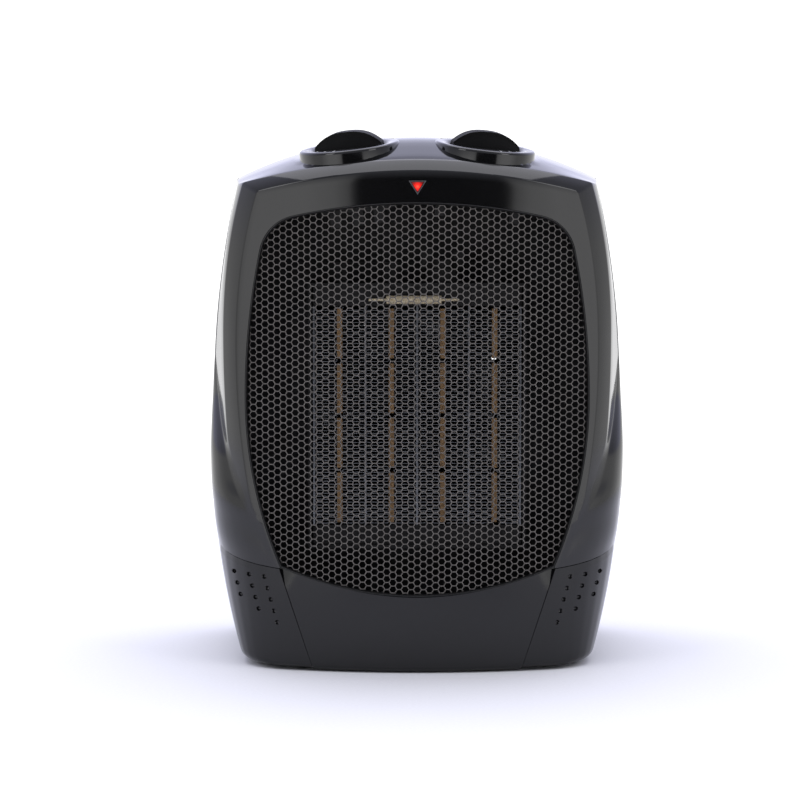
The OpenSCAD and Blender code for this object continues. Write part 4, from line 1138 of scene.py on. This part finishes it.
def build_knob(mats, side):
    """Knob: a low disc under a broad grip bar whose top is an even arch."""
    base, disc = -3.3, RING_H - 1.0
    shell = turned("knob", [(14.6, base), (KNOB_R - 0.3, base), (KNOB_R, base + 0.3), (KNOB_R, disc - 0.9),
                            (KNOB_R - 0.3, disc - 0.3), (KNOB_R - 0.9, disc), (0.001, disc + 0.25),
                            (0.001, disc - 1.6), (14.2, disc - 1.6), (14.6, disc - 2.0)], 128)
    grip_t, grip_top, half = 9.5, RING_H + GRIP_H, KNOB_R - 0.8
    bar = block((-half, -grip_t / 2, disc - 1.0), (half, grip_t / 2, grip_top))
    only(bar)
    bpy.ops.object.mode_set(mode="EDIT")
    bpy.ops.mesh.select_all(action="SELECT")
    bpy.ops.mesh.subdivide(number_cuts=23, smoothness=0)
    bpy.ops.object.mode_set(mode="OBJECT")
    low = disc - 1.0
    for vertex in bar.data.vertices:
        x, y, z = vertex.co / MM
        f = (z - low) / (grip_top - low)
        crown = grip_top - 5.9 * abs(x / half) ** 2.6
        waist = lerp(1.0, 0.82, smooth(f * 1.2))
        bow = 1 - 0.22 * (x / half) ** 2
        vertex.co = Vector((x * lerp(1.0, 0.985, f), y * waist * bow, lerp(low, crown, f))) * MM
    soften(bar, 1.0, 4, 40)
    knob = join("knob", [shell, bar])
    knob.data.transform(Matrix.Rotation(math.radians(side * GRIP_TURN), 4, "Z"))
    knob.data.transform(dial_frame(side))
    name = "mode_grip" if side < 0 else "thermostat_grip"
    node = "mode_knob" if side < 0 else "thermostat_knob"
    body = "mode_dial" if side < 0 else "thermostat_dial"
    return finish_piece(knob, name, mats["knob_abs"], (node,), body, angle=35)


# ---------------------------------------------------------------- heating element and lamp
FIN_W, STONE_T, PLATE_T = 10.15, 2.4, 0.8
CELL = 2 * FIN_W + STONE_T + PLATE_T
SHEET_STEP, SHEET_T = 1.37, 0.26
fin_low, fin_high = box_mm("heater_fins")


def build_fins(mats):
    """Serpentine fins: one fold of the strip is modelled, then arrayed up each of the eight rows."""
    turn_r = SHEET_STEP / 2
    path = [(turn_r, 0.0), (FIN_W * 0.3, 0.05), (FIN_W * 0.5, -0.04), (FIN_W * 0.7, 0.05)]
    path += arc((FIN_W - turn_r, turn_r), turn_r, -math.pi / 2, math.pi / 2, 4)
    path += [(FIN_W * 0.7, 2 * turn_r + 0.05), (FIN_W * 0.5, 2 * turn_r - 0.04),
             (FIN_W * 0.3, 2 * turn_r + 0.05)]
    path += arc((turn_r, 3 * turn_r), turn_r, -math.pi / 2, -3 * math.pi / 2, 4)
    ys = (fin_low.y, fin_high.y)
    fold = skin("fold", len(path) - 1, 1, lambda c, r: (path[c][0], ys[r], path[c][1]))
    folds = int((fin_high.z - fin_low.z - 0.5) / (2 * SHEET_STEP))
    modify(fold, "ARRAY", count=folds, use_relative_offset=False, use_constant_offset=True,
           constant_offset_displace=(0, 0, 2 * SHEET_STEP * MM), use_merge_vertices=True,
           merge_threshold=0.00002)
    modify(fold, "SOLIDIFY", thickness=SHEET_T * MM, offset=0.0)
    rise = (fin_high.z + fin_low.z - folds * 2 * SHEET_STEP) / 2
    rows = []
    for cell in (-1.5, -0.5, 0.5, 1.5):
        for start in (cell * CELL - STONE_T / 2 - FIN_W, cell * CELL + STONE_T / 2):
            rows.append(copy_of(fold, Matrix.Translation(Vector((start, 0, rise)) * MM)))
    bpy.data.objects.remove(fold, do_unlink=True)
    whole = join("element_fins", rows)
    return finish_piece(whole, "element_fins", mats["fin"], ("heater_fins",), angle=40)


# How far the lens frame stands out of the face
PROUD = 0.5


def build_indicator(mats):
    """Triangular lens pointing down in a thin raised frame; the lens itself glows."""
    low, high = box_mm("indicator_lens")
    half, top, foot = high.x, high.z, low.z
    middle = (0, lerp(top, foot, 1 / 3))

    def triangle(scale, depth):
        points = [(-half, top), (0, foot), (half, top)]
        y = FRONT_Y + depth - PROUD
        return [(middle[0] + (x - middle[0]) * scale, y, middle[1] + (z - middle[1]) * scale)
                for x, z in points]

    rings = [triangle(1.0, 2.5), triangle(1.0, 0.3), triangle(0.97, 0.12), triangle(0.84, 0.12),
             triangle(0.8, 0.35), triangle(0.8, 2.5)]
    frame_ring = skin("lens_frame", 3, len(rings), lambda c, r: rings[r % len(rings)][c % 3])
    outward(frame_ring)
    soften(frame_ring, 0.12, 2, 50)
    finish_piece(frame_ring, "lens_frame", mats["frame_abs"], (), angle=30)
    glass = [triangle(0.82, 2.4), triangle(0.82, 0.62), triangle(0.6, 0.42), triangle(0.02, 0.36)]
    lens = skin("lens", 3, len(glass) - 1, lambda c, r: glass[r][c % 3])
    outward(lens)
    return finish_piece(lens, "signal_lens", mats["signal"], ("indicator_lens",), angle=30)


# ---------------------------------------------------------------- light, floor and camera
# The dark gap between the panels lies a little to the right of the camera
DARK_SIDE_DEG = 4.6


def build_world():
    """Studio surroundings: white behind, bright panels beside the camera, dark where the camera stands."""
    world = bpy.data.worlds.new("studio")
    bpy.context.scene.world = world
    bpy.context.scene.view_settings.view_transform = "Standard"
    world.use_nodes = True
    tree = world.node_tree
    shader = tree.nodes["Background"]
    place = add(tree, "TexCoord")
    split = add(tree, "SeparateXYZ", Vector=(place, "Generated"))
    turn = math.radians(DARK_SIDE_DEG)
    along = add(tree, "VectorMath", {"operation": "DOT_PRODUCT"}, Vector=(place, "Generated"))
    along.inputs[1].default_value = (-math.sin(turn), math.cos(turn), 0)
    level = add(tree, "MapRange", Value=(along, "Value"), From_Min=-1.0, From_Max=1.0, To_Min=0.0, To_Max=1.0)
    ramp = add(tree, "ValToRGB", Fac=(level, "Result"))
    stops = [(0.0, 0.03), (0.034, 0.05), (0.039, 0.4), (0.044, 1.1), (0.06, 1.6), (0.1, 1.9), (0.2, 1.9),
             (0.36, 1.1), (0.52, 1.05), (0.7, 1.35), (1.0, 1.4)]
    elements = ramp.color_ramp.elements
    while len(elements) < len(stops):
        elements.new(0.5)
    for element, (position, value) in zip(elements, stops):
        element.position = position
        element.color = (value, value, value * 1.01, 1)
    height = add(tree, "MapRange", Value=(split, "Z"), From_Min=0.05, From_Max=0.2, To_Min=0.0, To_Max=1.0)
    ceiling = add(tree, "ValToRGB", Fac=(level, "Result"))
    sky = ceiling.color_ramp.elements
    for position, colour in ((0.5, (0.6, 0.61, 0.72, 1)), (0.72, (1.15, 1.17, 1.5, 1))):
        sky.new(position).color = colour
    sky[0].color = (0.5, 0.51, 0.58, 1)
    sky[-1].color = (1.35, 1.37, 1.75, 1)
    above = add(tree, "MixRGB", Fac=(height, "Result"), Color1=(ramp, "Color"), Color2=(ceiling, "Color"))
    tree.links.new(above.outputs["Color"], shader.inputs["Color"])
    shader.inputs["Strength"].default_value = 1.0


def area_light(name, place, aim, size, power, colour=(1, 1, 1)):
    light = bpy.data.lights.new(name, "AREA")
    light.shape = "RECTANGLE"
    light.size, light.size_y = size
    light.energy = power
    light.color = colour
    obj = bpy.data.objects.new(name, light)
    bpy.context.collection.objects.link(obj)
    obj.location = place
    obj.rotation_euler = (Vector(aim) - Vector(place)).to_track_quat("-Z", "Y").to_euler()
    return obj


def build_lights():
    area_light("top_softbox", (0, 0.25, 1.5), (0, 0.2, 0.0), (1.6, 1.2), 13, (1.0, 1.0, 1.04))
    area_light("left_fill", (-1.2, -1.0, 0.9), (0, -0.05, 0.13), (0.5, 0.7), 3)
    area_light("right_fill", (1.2, -1.0, 0.9), (0, -0.05, 0.13), (0.5, 0.7), 3)


def build_floor():
    """Pale seamless paper, which thins away far from the object so that it meets the white surroundings."""
    deselect()
    bpy.ops.mesh.primitive_grid_add(x_subdivisions=8, y_subdivisions=8, size=3.2, location=(0, 0, 0))
    floor = settle(bpy.context.object)
    floor.name = "studio_floor"
    paper = speckled("seamless_paper", "#f2f2f3", "#ededee", 1.5, 0.8, 0.0, 0.03)
    tree = paper.node_tree
    place = add(tree, "TexCoord")
    reach = add(tree, "VectorMath", {"operation": "LENGTH"}, Vector=(place, "Object"))
    fade = add(tree, "MapRange", {"interpolation_type": "SMOOTHERSTEP"}, Value=(reach, "Value"),
               From_Min=0.24, From_Max=0.85, To_Min=0.0, To_Max=1.0)
    clear = add(tree, "BsdfTransparent")
    blend = tree.nodes.new("ShaderNodeMixShader")
    tree.links.new(fade.outputs["Result"], blend.inputs[0])
    tree.links.new(tree.nodes["Principled BSDF"].outputs[0], blend.inputs[1])
    tree.links.new(clear.outputs[0], blend.inputs[2])
    tree.links.new(blend.outputs[0], tree.nodes["Material Output"].inputs["Surface"])
    floor.data.materials.append(paper)


def build_camera():
    camera = bpy.data.cameras.new("view")
    camera.lens, camera.sensor_width = 151, 36
    obj = bpy.data.objects.new("view", camera)
    bpy.context.collection.objects.link(obj)
    tilt = math.radians(5)
    look = Vector((0, math.cos(tilt), -math.sin(tilt)))
    aim = Vector((-0.0078, FRONT_Y * MM, 0.1236))
    obj.location = aim - look * 1.5
    obj.rotation_euler = look.to_track_quat("-Z", "Y").to_euler()
    bpy.context.scene.camera = obj


NODE_FINISH = {
    "indicator_lamp": "acetal", "rubber_feet": "rubber",
    "base_screws": "zinc", "case_screws": "zinc", "cord_gland": "pvc", "ptc_stones": "ceramic",
    "divider_plates": "fin", "element_cap_upper": "pps", "element_cap_lower": "pps",
    # the element's terminals and the duct are near black as painted shade for the inside of the case
    "element_terminals": "painted_shade_black", "heat_duct": "painted_shade_black", "thermal_fuse": "sleeve",
    "thermal_cutout": "pps", "fan_shroud": "pps", "fan_spider": "pps", "fan_impeller": "nylon",
    "motor_shaft": "zinc", "motor_rotor": "fin", "motor_stator": "lamination", "motor_bobbin": "nylon",
    "motor_winding": "copper", "front_bearing_bridge": "galvanised", "rear_bearing_bridge": "galvanised",
    "bearing_bushes": "bronze", "motor_screws": "zinc", "mode_switch": "phenolic", "mode_spindle": "zinc",
    "thermostat_body": "phenolic", "thermostat_spindle": "zinc", "control_nuts": "zinc",
    "terminal_block": "nylon", "tipover_housing": "nylon", "tipover_plunger": "acetal",
    # the duct screws are near black as painted shade for the inside of the case
    "tipover_spring": "zinc", "tipover_switch": "pps", "tipover_lever": "zinc", "duct_screws": "painted_shade_black",
}


def dress_nodes(mats):
    for name, finish in NODE_FINISH.items():
        node = bpy.data.objects[name]
        node.data.materials.clear()
        node.data.materials.append(mats[finish])


build_camera()
build_world()
build_lights()
build_floor()
mats = make_materials()
dress_nodes(mats)
build_front_shell(mats)
build_base(mats)
build_tongue(mats)
build_rear(mats)
build_gland_collar(mats)
build_blades(mats)
build_bezel(mats)
build_mesh(mats)
for side in (-1, 1):
    build_ring(mats, side)
    build_marks(mats, side)
    build_knob(mats, side)
build_fins(mats)
build_indicator(mats)
deselect()
